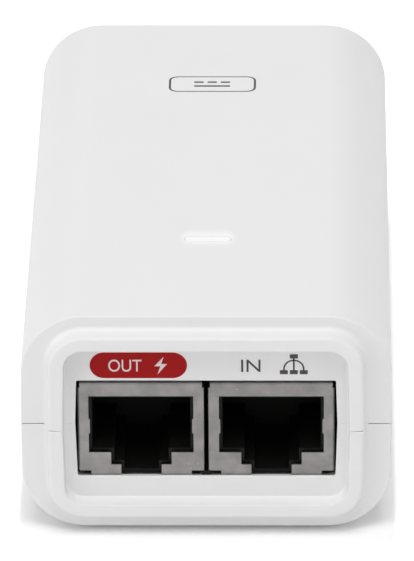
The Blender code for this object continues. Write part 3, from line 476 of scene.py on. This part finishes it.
def ink(name, pale, deep):
    """Printed ink: a slightly uneven film over the plastic's grain."""
    return moulded(name, pale, deep, 0.55, 0.3 * MM, 0.002 * MM, Specular_IOR_Level=0.12)


red_ink = ink("ink_red", (0.365, 0.0080, 0.0085), (0.330, 0.0065, 0.0070))
white_ink = ink("ink_white", (0.78, 0.72, 0.72), (0.72, 0.66, 0.66))
dark_ink = ink("ink_dark", (0.085, 0.085, 0.087), (0.070, 0.070, 0.072))

pill_outline = stadium(6.02, 1.785, (-8.34, 22.66), 20)
pill = skin("pill_print", slab(pill_outline, PANEL + INK_SUNK, PANEL - INK))
finish(pill, red_ink, "injector")
out_sign = word("out_sign", "OUT", (-12.05, 21.79), (-7.95, 23.46), PANEL - INK)
finish(out_sign, white_ink, "injector")
bolt = [(-5.22, 23.83), (-6.36, 22.54), (-5.61, 22.54), (-5.98, 21.42), (-4.80, 22.85), (-5.51, 22.85)]
bolt_sign = skin("bolt_sign", slab(bolt, PANEL - INK / 2, PANEL - 2 * INK))
finish(bolt_sign, white_ink, "injector")
in_sign = word("in_sign", "IN", (4.35, 21.74), (6.75, 23.45), PANEL + INK_SUNK / 2)
finish(in_sign, dark_ink, "injector")
TREE_X = 10.865
# the head, the trunk, an arch with two short legs, and three feet
tree_marks = [
    box_outline(TREE_X - 0.50, TREE_X + 0.50, 23.62, 24.20),
    box_outline(TREE_X - 0.10, TREE_X + 0.10, 21.94, 23.68),
    arch((TREE_X, 22.14), 1.22, 0.20),
    box_outline(TREE_X - 1.32, TREE_X - 1.12, 21.94, 22.15),
    box_outline(TREE_X + 1.12, TREE_X + 1.32, 21.94, 22.15),
    box_outline(TREE_X - 1.72, TREE_X - 0.74, 21.43, 21.99),
    box_outline(TREE_X - 0.49, TREE_X + 0.49, 21.43, 21.99),
    box_outline(TREE_X + 0.74, TREE_X + 1.72, 21.43, 21.99),
]
tree_sign = skin("network_sign", *[slab(mark, PANEL + INK_SUNK, PANEL - INK) for mark in tree_marks])
finish(tree_sign, dark_ink, "injector")


def rounded(half, side, radius, steps=8):
    """The outline of a rounded rectangle, one corner after another: each corner is a quarter
    circle about a middle that lies radius inside both sides."""
    turn = np.linspace(0.0, math.pi / 2, steps + 1)
    corner = np.column_stack([np.cos(turn), np.sin(turn)]) * radius
    quarter = corner + np.array([half - radius, side - radius])
    back = quarter[::-1] * np.array([-1.0, 1.0])
    return np.concatenate([quarter, back, -quarter, -back])


BADGE_X, BADGE_Y = 0.03, 24.745
LID_LOW, LID_HIGH = LID - INK_SUNK, LID + INK
outer, inner = rounded(5.72, 2.31, 1.2), rounded(5.44, 2.135, 1.0)
badge_path = np.stack([
    np.insert(line + np.array([BADGE_X, BADGE_Y]), 2, level, axis=1)
    for line, level in ((outer, LID_LOW), (outer, LID_HIGH), (inner, LID_HIGH), (inner, LID_LOW))
], axis=1)
badge = skin("badge_outline", badge_path, ring=True)
finish(badge, dark_ink, "injector")
DC_NEAR, DC_FAR, DC_HALF, DASH_HALF = 0.40, 0.78, 2.35, 0.61
DASHES = (DASH_HALF - DC_HALF, 0.0, DC_HALF - DASH_HALF)
dc_marks = [
    box_outline(-DC_HALF, DC_HALF, BADGE_Y - DC_FAR, BADGE_Y - DC_NEAR),
    *[box_outline(x - DASH_HALF, x + DASH_HALF, BADGE_Y + DC_NEAR, BADGE_Y + DC_FAR) for x in DASHES],
]
dc_sign = skin("direct_current_sign", *[slab(mark, LID_LOW, LID_HIGH, "lid") for mark in dc_marks])
finish(dc_sign, dark_ink, "injector")

# Jack shields: boxes of nickel-plated sheet, 0.3 mm, stamped and folded round each jack. The
# face has a stepped plug window with a sprung bump on either side, and two foot notches. Roof and
# sides are bent back from the face, and the corners between them show a dark relief slit.
JACK_HALF, JACK_HIGH, JACK_DEEP, SHEET = 7.88, 12.58, 16.0, 0.3
JACK_FRONT, JACK_FOOT = -41.0, 7.0
POE_X, LAN_X = -8.105, 8.077
FOOT_HALF, FOOT_CUT, BACK_FOOT = 6.25, 0.65, 1.2
SIDE_BEND, RELIEF = 0.32, 0.28
ROOF_BEND, ROOF_SHEET, ROOF_SUNK = 0.55, 0.22, 0.05


def window_side():
    """The right half of the plug window, from the latch slot's foot over two steps and the
    sprung bump up to its top corner."""
    latch, shelf, plug = 2.51, 3.76, 6.505
    step, ledge, top = 1.50, 3.21, 11.1
    bump, low, high = 0.16, 5.97, 7.82
    return [
        (latch, 0.0), (latch, step), (shelf, step), (shelf, ledge), (plug, ledge),
        (plug, low - bump), (plug - bump, low), (plug - bump, high), (plug, high + bump), (plug, top),
    ]


def shield_tubes(across):
    """Face plate, bent roof, bent sides and back of one shield, each a sheet as a slab. The
    section of the roof and of a side is a quarter circle at the face, then straight back."""
    right = window_side()
    edge = JACK_HALF - SIDE_BEND
    around = [(FOOT_HALF, 0.0), (FOOT_HALF, FOOT_CUT), (edge, FOOT_CUT), (edge, JACK_HIGH)]
    face = right + [(-x, z) for x, z in right[::-1]] + [(-x, z) for x, z in around] + around[::-1]
    turn = np.linspace(0.0, math.pi / 2, 9)
    arc = np.column_stack([1.0 - np.cos(turn), np.sin(turn)])
    low, inner = JACK_HIGH - ROOF_SUNK, ROOF_BEND - ROOF_SHEET
    over = [*(arc * ROOF_BEND + np.array([0.0, low])), (JACK_DEEP, low + ROOF_BEND)]
    under = [*(arc * inner + np.array([ROOF_SHEET, low])), (JACK_DEEP, low + inner)]
    section = np.array(over + under[::-1])
    half = JACK_HALF - RELIEF
    roof = np.stack([np.insert(section, 0, x, axis=1) for x in (-half, half)])
    curl = arc[:, ::-1]
    outside = [*(curl * SIDE_BEND + np.array([edge, 0.0])), (JACK_HALF, JACK_DEEP)]
    inside = [*(curl * (SIDE_BEND - SHEET) + np.array([edge, SHEET])), (JACK_HALF - SHEET, JACK_DEEP)]
    wall = np.array(outside + inside[::-1])
    side = np.stack([np.insert(wall, 2, z, axis=1) for z in (FOOT_CUT, JACK_HIGH - RELIEF)])
    plates = [
        slab(face, 0.0, SHEET),
        roof,
        side,
        side * np.array([-1.0, 1.0, 1.0]),
        slab(box_outline(-half, half, BACK_FOOT, low + inner), JACK_DEEP - SHEET, JACK_DEEP),
    ]
    return [plate + np.array([across, JACK_FRONT, JACK_FOOT]) for plate in plates]


def plated(name, pale, deep, rough, streak, stretch):
    """Plated metal: cloudy tarnish and faint rolling streaks mix the colour and the roughness,
    and a few small nicks show brighter metal and stand in the bump."""

    def look(p):
        cloud = p.noise(2.2 * MM, 4.0)
        lines = p.noise(streak, 2.0, stretch)
        patch = (cloud * 0.88 + lines * 0.12).above(0.5, 0.50)
        nicks = p.noise(0.35 * MM, 3.0, (2.2, 2.2, 1.0)).above(0.72, 0.06)
        return {
            "Base Color": nicks.between(patch.between(pale, deep), tuple(1.45 * part for part in pale)),
            "Roughness": rough - 0.09 + patch * 0.14 + lines * 0.06,
            "Normal": (lines * 0.2 + cloud * 0.4 - nicks * 0.6).bump(0.006 * MM),
        }

    return material(name, look, Metallic=1.0)


nickel = plated(
    "nickel_sheet", (0.266, 0.256, 0.251), (0.194, 0.186, 0.182), 0.36, 0.12 * MM, (30.0, 1.0, 1.0)
)
for prefix, across in (("poe", POE_X), ("lan", LAN_X)):
    shield = skin(prefix + "_shield", *shield_tubes(across))
    finish(shield, nickel, "injector", (prefix + "_jack_shield",), edge=0.10)


def dress(made, *names):
    """Give CAD nodes a material in place of their own."""
    for name in names:
        node = nodes[name]
        if not node.material_slots:
            node.data.materials.append(made)
        for slot in node.material_slots:
            slot.material = made


black = moulded(
    "black_moulding", (0.0060, 0.0056, 0.0054), (0.0038, 0.0036, 0.0034), 0.52, 0.25 * MM, 0.006 * MM,
    Specular_IOR_Level=0.17,
)
dress(black, "poe_jack_housing", "lan_jack_housing", "poe_jack_insert", "lan_jack_insert")
foot_outline = box_outline(-0.54, 0.52, JACK_FOOT - 0.20, JACK_FOOT + 0.55)
jack_foot = skin("jack_foot", slab(foot_outline, JACK_FRONT + 0.05, JACK_FRONT + 1.0))
finish(jack_foot, black, "injector", edge=0.05)

# Spring contacts: eight gold-plated phosphor bronze wires in each jack, moulded into a root bar
# at the mouth and sloping back and down into the plug's room, where a plug lifts them.
WIRES, WIRE_PITCH, WIRE_RADIUS, WIRE_LONG = 8, 1.02, 0.2, 7.0
WIRE_SLOPE, WIRE_BEND, WIRE_BLUNT = math.radians(22.0), 1.2, 0.5
ROOT_INSET, ROOT_RADIUS, ROOT_END, ROOT_ROUND = 0.225, 0.215, 0.16, 0.05


def wire_tube(path, radius, sides=10, tip=0.0):
    """A round wire: at each point of a path in a plane of constant x, a circle across the path.
    The last two rows may shrink to a blunt tip."""
    path = np.asarray(path, float)
    along = np.gradient(path, axis=0)
    along /= np.linalg.norm(along, axis=1, keepdims=True)
    side = np.array([1.0, 0.0, 0.0])
    up = np.cross(side, along)
    turn = np.linspace(0.0, 2 * math.pi, sides, endpoint=False)
    size = np.full(len(path), radius)
    size[-2:] *= 1.0 - np.array([0.25, 1.0]) * tip
    ring = np.cos(turn)[None, :, None] * side + np.sin(turn)[None, :, None] * up[:, None, :]
    return path[:, None, :] + size[:, None, None] * ring


def contact_tubes(node):
    """The root bar with rounded ends and the eight wires: each starts level in the bar, turns
    down over a short bend and runs straight at the slope of its CAD solid."""
    low, high = (np.array(corner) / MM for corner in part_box(node))
    middle = (low[0] + high[0]) / 2
    root_y, root_z = low[1] + ROOT_INSET, high[2] - ROOT_INSET
    run = np.linspace(0.0, WIRE_LONG, 22)
    bent = WIRE_SLOPE * np.clip(run / WIRE_BEND, 0.0, 1.0)
    step = np.diff(run, prepend=0.0)
    y = root_y + np.cumsum(np.cos(bent) * step)
    z = root_z - np.cumsum(np.sin(bent) * step)
    lanes = middle + (np.arange(WIRES) - (WIRES - 1) / 2) * WIRE_PITCH
    tubes = [
        wire_tube(np.column_stack([0 * y + x, y, z]), WIRE_RADIUS, tip=WIRE_BLUNT) for x in lanes
    ]
    along = [low[0], low[0] + ROOT_ROUND, high[0] - ROOT_ROUND, high[0]]
    bar = np.column_stack([along, [root_y] * 4, [root_z] * 4])
    turn = np.linspace(0.0, 2 * math.pi, 12, endpoint=False)
    size = np.array([ROOT_END, ROOT_RADIUS, ROOT_RADIUS, ROOT_END])
    circle = np.stack([0 * turn, np.cos(turn), np.sin(turn)], axis=-1)
    tubes.append(bar[:, None, :] + size[:, None, None] * circle[None])
    return tubes


gold = plated("gold_wire", (0.86, 0.62, 0.24), (0.74, 0.50, 0.17), 0.28, 0.10 * MM, (1.0, 20.0, 1.0))
for prefix in ("poe", "lan"):
    node = prefix + "_jack_contacts"
    springs = skin(prefix + "_springs", *contact_tubes(node))
    finish(springs, gold, prefix + "_contacts", (node,))

# Mains inlet: a black thermoplastic socket with three round lobes, clasped between the shells by
# its flange, and three plated brass pins that are bent down to the board behind it.
HUB, RAYS, SOCKET_DEEP = np.array([0.0, 14.3]), 144, 11.5
WEB_HALF, WEB_LOW, WEB_TOP = 5.0, 10.55, 17.45
PINS = {
    "inlet_live_pin": (-WEB_HALF, 13.15),
    "inlet_neutral_pin": (WEB_HALF, 13.15),
    "inlet_earth_pin": (0.0, WEB_TOP),
}
PIN_RADIUS, PIN_BEND, PIN_BACK, PIN_FOOT = 1.2, 1.2, 26.2, 7.05
# y and share of the radius along a pin's free end
PIN_END = np.array([[39.6, 1.0], [40.5, 0.97], [40.85, 0.78], [41.0, 0.42]])


def lobed(radius, grow):
    """The outline of three joined lobes, as the distance from the middle along each direction:
    the far crossing of the ray with each circle, or with the web between them, whichever lies
    furthest out."""
    turn = np.linspace(0.0, 2 * math.pi, RAYS, endpoint=False)
    ray = np.column_stack([np.cos(turn), np.sin(turn)])
    reach = np.zeros(RAYS)
    for place in PINS.values():
        to = np.array(place) - HUB
        along = ray @ to
        room = (radius + grow) ** 2 - (to @ to - along ** 2)
        reach = np.maximum(reach, np.where(room > 0, along + np.sqrt(np.maximum(room, 0.0)), 0.0))
    low, high = HUB[1] - (WEB_LOW - grow), WEB_TOP - HUB[1]
    rise = np.where(ray[:, 1] > 0, high, low) / np.maximum(np.abs(ray[:, 1]), 1e-6)
    width = (WEB_HALF + grow) / np.maximum(np.abs(ray[:, 0]), 1e-6)
    reach = np.maximum(reach, np.minimum(rise, width))
    return HUB + ray * reach[:, None]


def on_ring(half, side, radius):
    """A rounded rectangle about the inlet's middle, met by the same rays as the lobes: its
    outline is walked in even steps, and each ray takes the distance found at its angle."""
    turn = np.linspace(0.0, 2 * math.pi, RAYS, endpoint=False)
    ray = np.column_stack([np.cos(turn), np.sin(turn)])
    line = rounded(half, side, radius, 20) + np.array([0.0, INLET_Z - HUB[1]])
    line = np.concatenate([line, line[:1]])
    gone = np.append(0.0, np.cumsum(np.hypot(*np.diff(line, axis=0).T)))
    walk = np.linspace(0.0, gone[-1], 4000, endpoint=False)
    x, z = (np.interp(walk, gone, part) for part in line.T)
    length = np.interp(turn, np.arctan2(z, x), np.hypot(x, z), period=2 * math.pi)
    return HUB + ray * length[:, None]


# y, half width, half height, corner radius: from the back over the body and its flange to the mouth
inlet_outside = (
    (28.0, 10.2, 7.4, 0.6),
    (28.1, 10.3, 7.5, 0.7),
    (39.7, 10.3, 7.5, 0.7),
    (39.7, 11.1, 8.3, 0.5),
    (41.2, 11.1, 8.3, 0.5),
    (41.2, 10.3, 7.5, 0.7),
    (REAR - 0.25, 10.3, 7.5, 0.7),
    (REAR - 0.07, 10.22, 7.42, 0.65),
    (REAR, 10.05, 7.25, 0.6),
)
# y, lobe radius, growth of the lobes: from the rounded mouth down to the socket's floor
inlet_inside = (
    (REAR, 4.1, 0.35),
    (REAR - 0.08, 4.1, 0.12),
    (REAR - 0.35, 4.1, 0.0),
    (REAR - SOCKET_DEEP + 0.2, 4.05, 0.0),
    (REAR - SOCKET_DEEP, 3.85, 0.0),
)
inlet_rows = [np.insert(on_ring(*sizes), 1, y, axis=1) for y, *sizes in inlet_outside]
inlet_rows += [np.insert(lobed(*sizes), 1, y, axis=1) for y, *sizes in inlet_inside]
inlet = skin("inlet_moulding", np.stack(inlet_rows))
finish(inlet, black, "injector", ("inlet_body",))
brass = plated("plated_pin", (0.72, 0.69, 0.63), (0.60, 0.57, 0.51), 0.26, 0.15 * MM, (1.0, 14.0, 1.0))
for name, (x, z) in PINS.items():
    turn = np.linspace(math.pi / 2, 0.0, 9)
    y_elbow = PIN_BACK + PIN_BEND * (1.0 - np.sin(turn))
    z_elbow = z - PIN_BEND * (1.0 - np.cos(turn))
    y_path = np.concatenate([[PIN_BACK], y_elbow, PIN_END[:, 0]])
    z_path = np.concatenate([[PIN_FOOT], z_elbow, 0 * PIN_END[:, 0] + z])
    path = np.column_stack([0 * y_path + x, y_path, z_path])
    shrink = np.ones(len(path))
    shrink[-len(PIN_END):] = PIN_END[:, 1]
    tube = wire_tube(path, PIN_RADIUS, 24)
    tube = path[:, None, :] + (tube - path[:, None, :]) * shrink[:, None, None]
    pin = skin(name.replace("inlet_", "") + "_bent", tube)
    finish(pin, brass, "injector", (name,))

# Circuit board and its lamp: green solder mask over glass epoxy with faint copper runs under it;
# the lamp is a white reflector body with a warm phosphor face.


def board_look(p):
    """Solder mask: a brick pattern stands for the copper runs, and with the noise of the glass
    cloth it mixes the green and raises the surface."""
    bricks = {
        "Vector": p, "Scale": 160.0, "Mortar Size": 0.05,
        "Color1": (0, 0, 0, 1), "Color2": (0.25, 0.25, 0.25, 1), "Mortar": (1, 1, 1, 1),
    }
    runs = p.make("TexBrick", bricks)
    cloth = p.noise(0.5 * MM, 2.0)
    return {
        "Base Color": (runs * 0.6 + cloth * 0.4).between((0.007, 0.040, 0.019), (0.014, 0.075, 0.032)),
        "Roughness": 0.34 + cloth * 0.14,
        "Normal": (runs * 0.7 + cloth * 0.3).bump(0.03 * MM),
    }


dress(material("board_green", board_look), "circuit_board")
lamp_white = moulded("lamp_white", (0.88, 0.84, 0.70), (0.84, 0.78, 0.58), 0.4, 0.4 * MM)
dress(lamp_white, "indicator_lamp")

# Moulded chips: magnetics, controller, optocoupler, bridge and rectifier in black epoxy with a
# matt, slightly speckled skin. Their legs are moulded over in the solids.
epoxy = moulded("chip_black", (0.030, 0.030, 0.032), (0.016, 0.016, 0.018), 0.60, 0.16 * MM, 0.008 * MM)
dress(epoxy, "lan_magnetics", "controller", "optocoupler", "bridge_rectifier", "output_rectifier")

# Electrolytic cans: aluminium cans in a printed shrink sleeve, with a pale polarity stripe down
# one side and the bare crown showing on top.


def can_look(centre, radius, top):
    """A sleeved can: the stripe is where x lies far enough to one side of the centre, and the
    bare crown is where z comes close to the top."""

    def look(p):
        x, z = (p.make("SeparateXYZ", {0: p}, axis) for axis in (0, 2))
        stripe = (centre - x).above(radius * 0.78, radius * 0.04)
        crown = z.above(top - 0.25 * MM, 0.1 * MM)
        film = p.noise(2.0 * MM, 3.0)
        sleeve = stripe.between((0.016, 0.022, 0.050), (0.45, 0.46, 0.50))
        return {
            "Base Color": crown.between(sleeve, (0.62, 0.62, 0.63)),
            "Metallic": crown,
            "Roughness": 0.30 + film * 0.15,
            "Normal": film.bump(0.02 * MM),
        }

    return look


for name in ("output_capacitor_left", "output_capacitor_right", "bulk_capacitor"):
    low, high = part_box(name)
    centre, radius = (low[0] + high[0]) / 2, (high[0] - low[0]) / 2
    dress(material("can_sleeve_" + name, can_look(centre, radius, high[2])), name)

# Wound parts: sintered ferrite cores with a dusty grey-black skin, enamelled copper windings
# whose turns show as fine bands, and the transformer's winding wrapped in yellow polyester tape.


def banded(name, pale, deep, axis, pitch, rough, metallic):
    """Turns or wraps: a wave along one axis at the wire's pitch, broken by a little noise."""

    def look(p):
        place = p.make("SeparateXYZ", {0: p}, axis)
        worn = p.noise(1.5 * MM, 3.0)
        wave = place * (2 * math.pi / pitch) + worn * 1.2
        turns = wave.math("SINE", wave) * 0.5 + 0.5
        return {
            "Base Color": (turns * 0.7 + worn * 0.3).between(deep, pale),
            "Roughness": rough + worn * 0.12,
            "Normal": turns.bump(0.08 * MM),
        }

    return material(name, look, Metallic=metallic)


ferrite = moulded("ferrite", (0.060, 0.060, 0.065), (0.030, 0.030, 0.034), 0.72, 0.12 * MM, 0.012 * MM)
dress(ferrite, "transformer_core", "choke_core", "output_inductor")
dress(black, "transformer_bobbin")
tape = banded("yellow_tape", (0.80, 0.56, 0.07), (0.66, 0.42, 0.04), 1, 3.2 * MM, 0.35, 0.0)
dress(tape, "transformer_winding")
copper = banded("enamelled_copper", (0.62, 0.24, 0.08), (0.36, 0.11, 0.03), 2, 0.75 * MM, 0.26, 1.0)
dress(copper, "choke_winding_left", "choke_winding_right")

# Coated parts of the mains side: a boxed film capacitor in yellow resin, two blue lacquered
# discs and a ceramic fuse with metal end caps.
resin = moulded("yellow_box", (0.80, 0.60, 0.11), (0.72, 0.51, 0.07), 0.42, 0.5 * MM, 0.01 * MM)
dress(resin, "film_capacitor")
lacquer = moulded(
    "blue_coat", (0.045, 0.14, 0.44), (0.025, 0.09, 0.33), 0.34, 1.1 * MM, 0.05 * MM, Coat_Weight=0.3
)
dress(lacquer, "safety_capacitor", "varistor")
fuse_low, fuse_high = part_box("fuse")
FUSE_MIDDLE, CAP_FROM, CAP_EDGE = (fuse_low[1] + fuse_high[1]) / 2, 2.9 * MM, 0.05 * MM


def fuse_look(p):
    """A glazed tube that is metal where y lies further from the middle than the caps begin."""
    y = p.make("SeparateXYZ", {0: p}, 1)
    caps = abs(y - FUSE_MIDDLE).above(CAP_FROM, CAP_EDGE)
    glaze = p.noise(0.8 * MM, 3.0)
    return {
        "Base Color": caps.between((0.72, 0.68, 0.58), (0.62, 0.60, 0.57)),
        "Metallic": caps,
        "Roughness": 0.30 + glaze * 0.2,
        "Normal": glaze.bump(0.02 * MM),
    }


dress(material("ceramic_tube", fuse_look), "fuse")

# Stage: a plain white floor under an even white surround, a large soft lamp overhead, weaker ones
# round the object, and the camera where the photograph was taken. The floor is white to the
# camera and keeps the contact shadow, which its own light, held low next to the case, deepens
# as a painted shadow.
FLOOR_HALF, FLOOR_LOW = 3.0, -0.5 * MM
floor_corners = [(x, y, FLOOR_LOW) for x, y in box_outline(-FLOOR_HALF, FLOOR_HALF, -FLOOR_HALF, FLOOR_HALF)]
floor_mesh = bpy.data.meshes.new("floor")
floor_mesh.from_pydata(floor_corners, [], [(0, 1, 2, 3)])
floor = bpy.data.objects.new("floor", floor_mesh)
bpy.context.scene.collection.objects.link(floor)


def seen_directly(tree):
    """1 for a ray from the camera, or from a mirror-like or clear surface, and 0 for the rays
    that light the object."""
    outs = tree.nodes.new("ShaderNodeLightPath").outputs
    camera_ray, glossy_ray, clear_ray = (
        Sock(tree, outs["Is %s Ray" % kind]) for kind in ("Camera", "Glossy", "Transmission")
    )
    return camera_ray.math("MAXIMUM", camera_ray.math("MAXIMUM", camera_ray, glossy_ray), clear_ray)


# the floor's own light: low next to the case, where it paints a darker shadow, then higher round it
SHADOW_LIFT, NEAR_LIFT, FAR_LIFT = 0.05, 0.29, 0.50
SHADOW_REACH, SHADOW_SOFT, SHADOW_NARROW = 1.9 * MM, 2.6 * MM, 3.0
FAR_FROM, FAR_SOFT = 0.30, 0.40


def floor_look(p):
    """White to the camera, with a painted shadow: hardly any light of its own in the contact shadow,
    a little round the object and more where the lamps no longer reach. The painted shadow ends at a
    distance from the case's footprint, which counts three times at the sides."""
    reach = p.make("VectorMath", {0: p}, 1, operation="LENGTH")
    mirrored = p.make("VectorMath", {0: p}, operation="ABSOLUTE")
    footprint = (-SHADOW_NARROW * BODY[0] * MM, -REAR * MM, 0.0)
    inputs = {0: mirrored, 1: (SHADOW_NARROW, 1.0, 0.0), 2: footprint}
    beyond = p.make("VectorMath", inputs, operation="MULTIPLY_ADD")
    beside = p.make("VectorMath", {0: beyond, 1: (0.0, 0.0, 0.0)}, operation="MAXIMUM")
    beside = p.make("VectorMath", {0: beside}, 1, operation="LENGTH")
    # painted shadow: the floor's own light fades in with the distance from the case's footprint
    painted_shadow_fade, far = beside.above(SHADOW_REACH, SHADOW_SOFT), reach.above(FAR_FROM, FAR_SOFT)
    lift = SHADOW_LIFT + painted_shadow_fade * NEAR_LIFT + far * FAR_LIFT
    return {"Emission Color": (seen_directly(p.tree) * lift).between((0.0, 0.0, 0.0), (1.0, 1.0, 1.0))}


floor_white = material(
    "floor_white", floor_look,
    Base_Color=(0.95, 0.95, 0.95, 1.0), Roughness=0.9, Emission_Strength=1.0,
)
floor_mesh.materials.append(floor_white)

world = bpy.data.worlds.new("studio")
bpy.context.scene.world = world
world.use_nodes = True
tree = world.node_tree
backdrop = tree.nodes["Background"]
shade = seen_directly(tree).between((0.45, 0.45, 0.45), (1.0, 1.0, 1.0))
tree.links.new(shade.out, backdrop.inputs["Color"])
backdrop.inputs["Strength"].default_value = 1.0


def lamp(name, place, target, size, power):
    """A square soft lamp that faces its target: its axes are the way to the target, a line square
    to that way and to the case's length, and the normal of both."""
    light = bpy.data.lights.new(name, "AREA")
    light.shape = "SQUARE"
    light.size = size
    light.energy = power
    holder = bpy.data.objects.new(name, light)
    forward = np.array(target) - np.array(place)
    forward = forward / np.linalg.norm(forward)
    side = np.cross(forward, (0.0, 1.0, 0.0))
    side /= np.linalg.norm(side)
    up = np.cross(side, forward)
    matrix = np.eye(4)
    matrix[:3, 0], matrix[:3, 1], matrix[:3, 2], matrix[:3, 3] = side, up, -forward, place
    holder.matrix_world = Matrix(matrix.tolist())
    bpy.context.scene.collection.objects.link(holder)


AIM = (0.0, -0.02, 0.015)
lamp("overhead", (0.0, -0.38, 1.015), AIM, 0.52, 5.10)
lamp("left", (-1.18, -0.16, 0.305), AIM, 0.60, 1.25)
lamp("front_left", (-1.00, -0.68, 0.385), AIM, 0.60, 2.10)
lamp("right", (1.10, 0.12, 0.505), AIM, 0.70, 0.30)
lamp("front_right", (0.90, -0.58, 0.685), AIM, 0.70, 0.80)
lamp("rear", (0.0, 1.26, 0.165), AIM, 0.60, 2.20)

# the focal length is in pixels of a picture as high as the photograph
SENSOR, PICTURE_HIGH, FOCAL = 36.0, 561.0, 6975.5
elevation, yaw, roll = math.radians(27.113), math.radians(-0.950), math.radians(-0.42)
target, distance = np.array([-0.131, -20.0, 23.466]) * MM, 880.0 * MM
forward = np.array([
    math.sin(yaw) * math.cos(elevation),
    math.cos(yaw) * math.cos(elevation),
    -math.sin(elevation),
])
level = np.array([math.cos(yaw), -math.sin(yaw), 0.0])
upward = np.cross(level, forward)
matrix = np.eye(4)
matrix[:3, 0] = level * math.cos(roll) + upward * math.sin(roll)
matrix[:3, 1] = upward * math.cos(roll) - level * math.sin(roll)
matrix[:3, 2] = -forward
matrix[:3, 3] = target - forward * distance
lens = bpy.data.cameras.new("camera")
lens.sensor_fit = "AUTO"
lens.sensor_width = SENSOR
lens.lens = FOCAL * SENSOR / PICTURE_HIGH
lens.clip_end = 20.0
camera = bpy.data.objects.new("camera", lens)
camera.matrix_world = Matrix(matrix.tolist())
bpy.context.scene.collection.objects.link(camera)
bpy.context.scene.camera = camera
bpy.context.scene.view_settings.view_transform = "Standard"
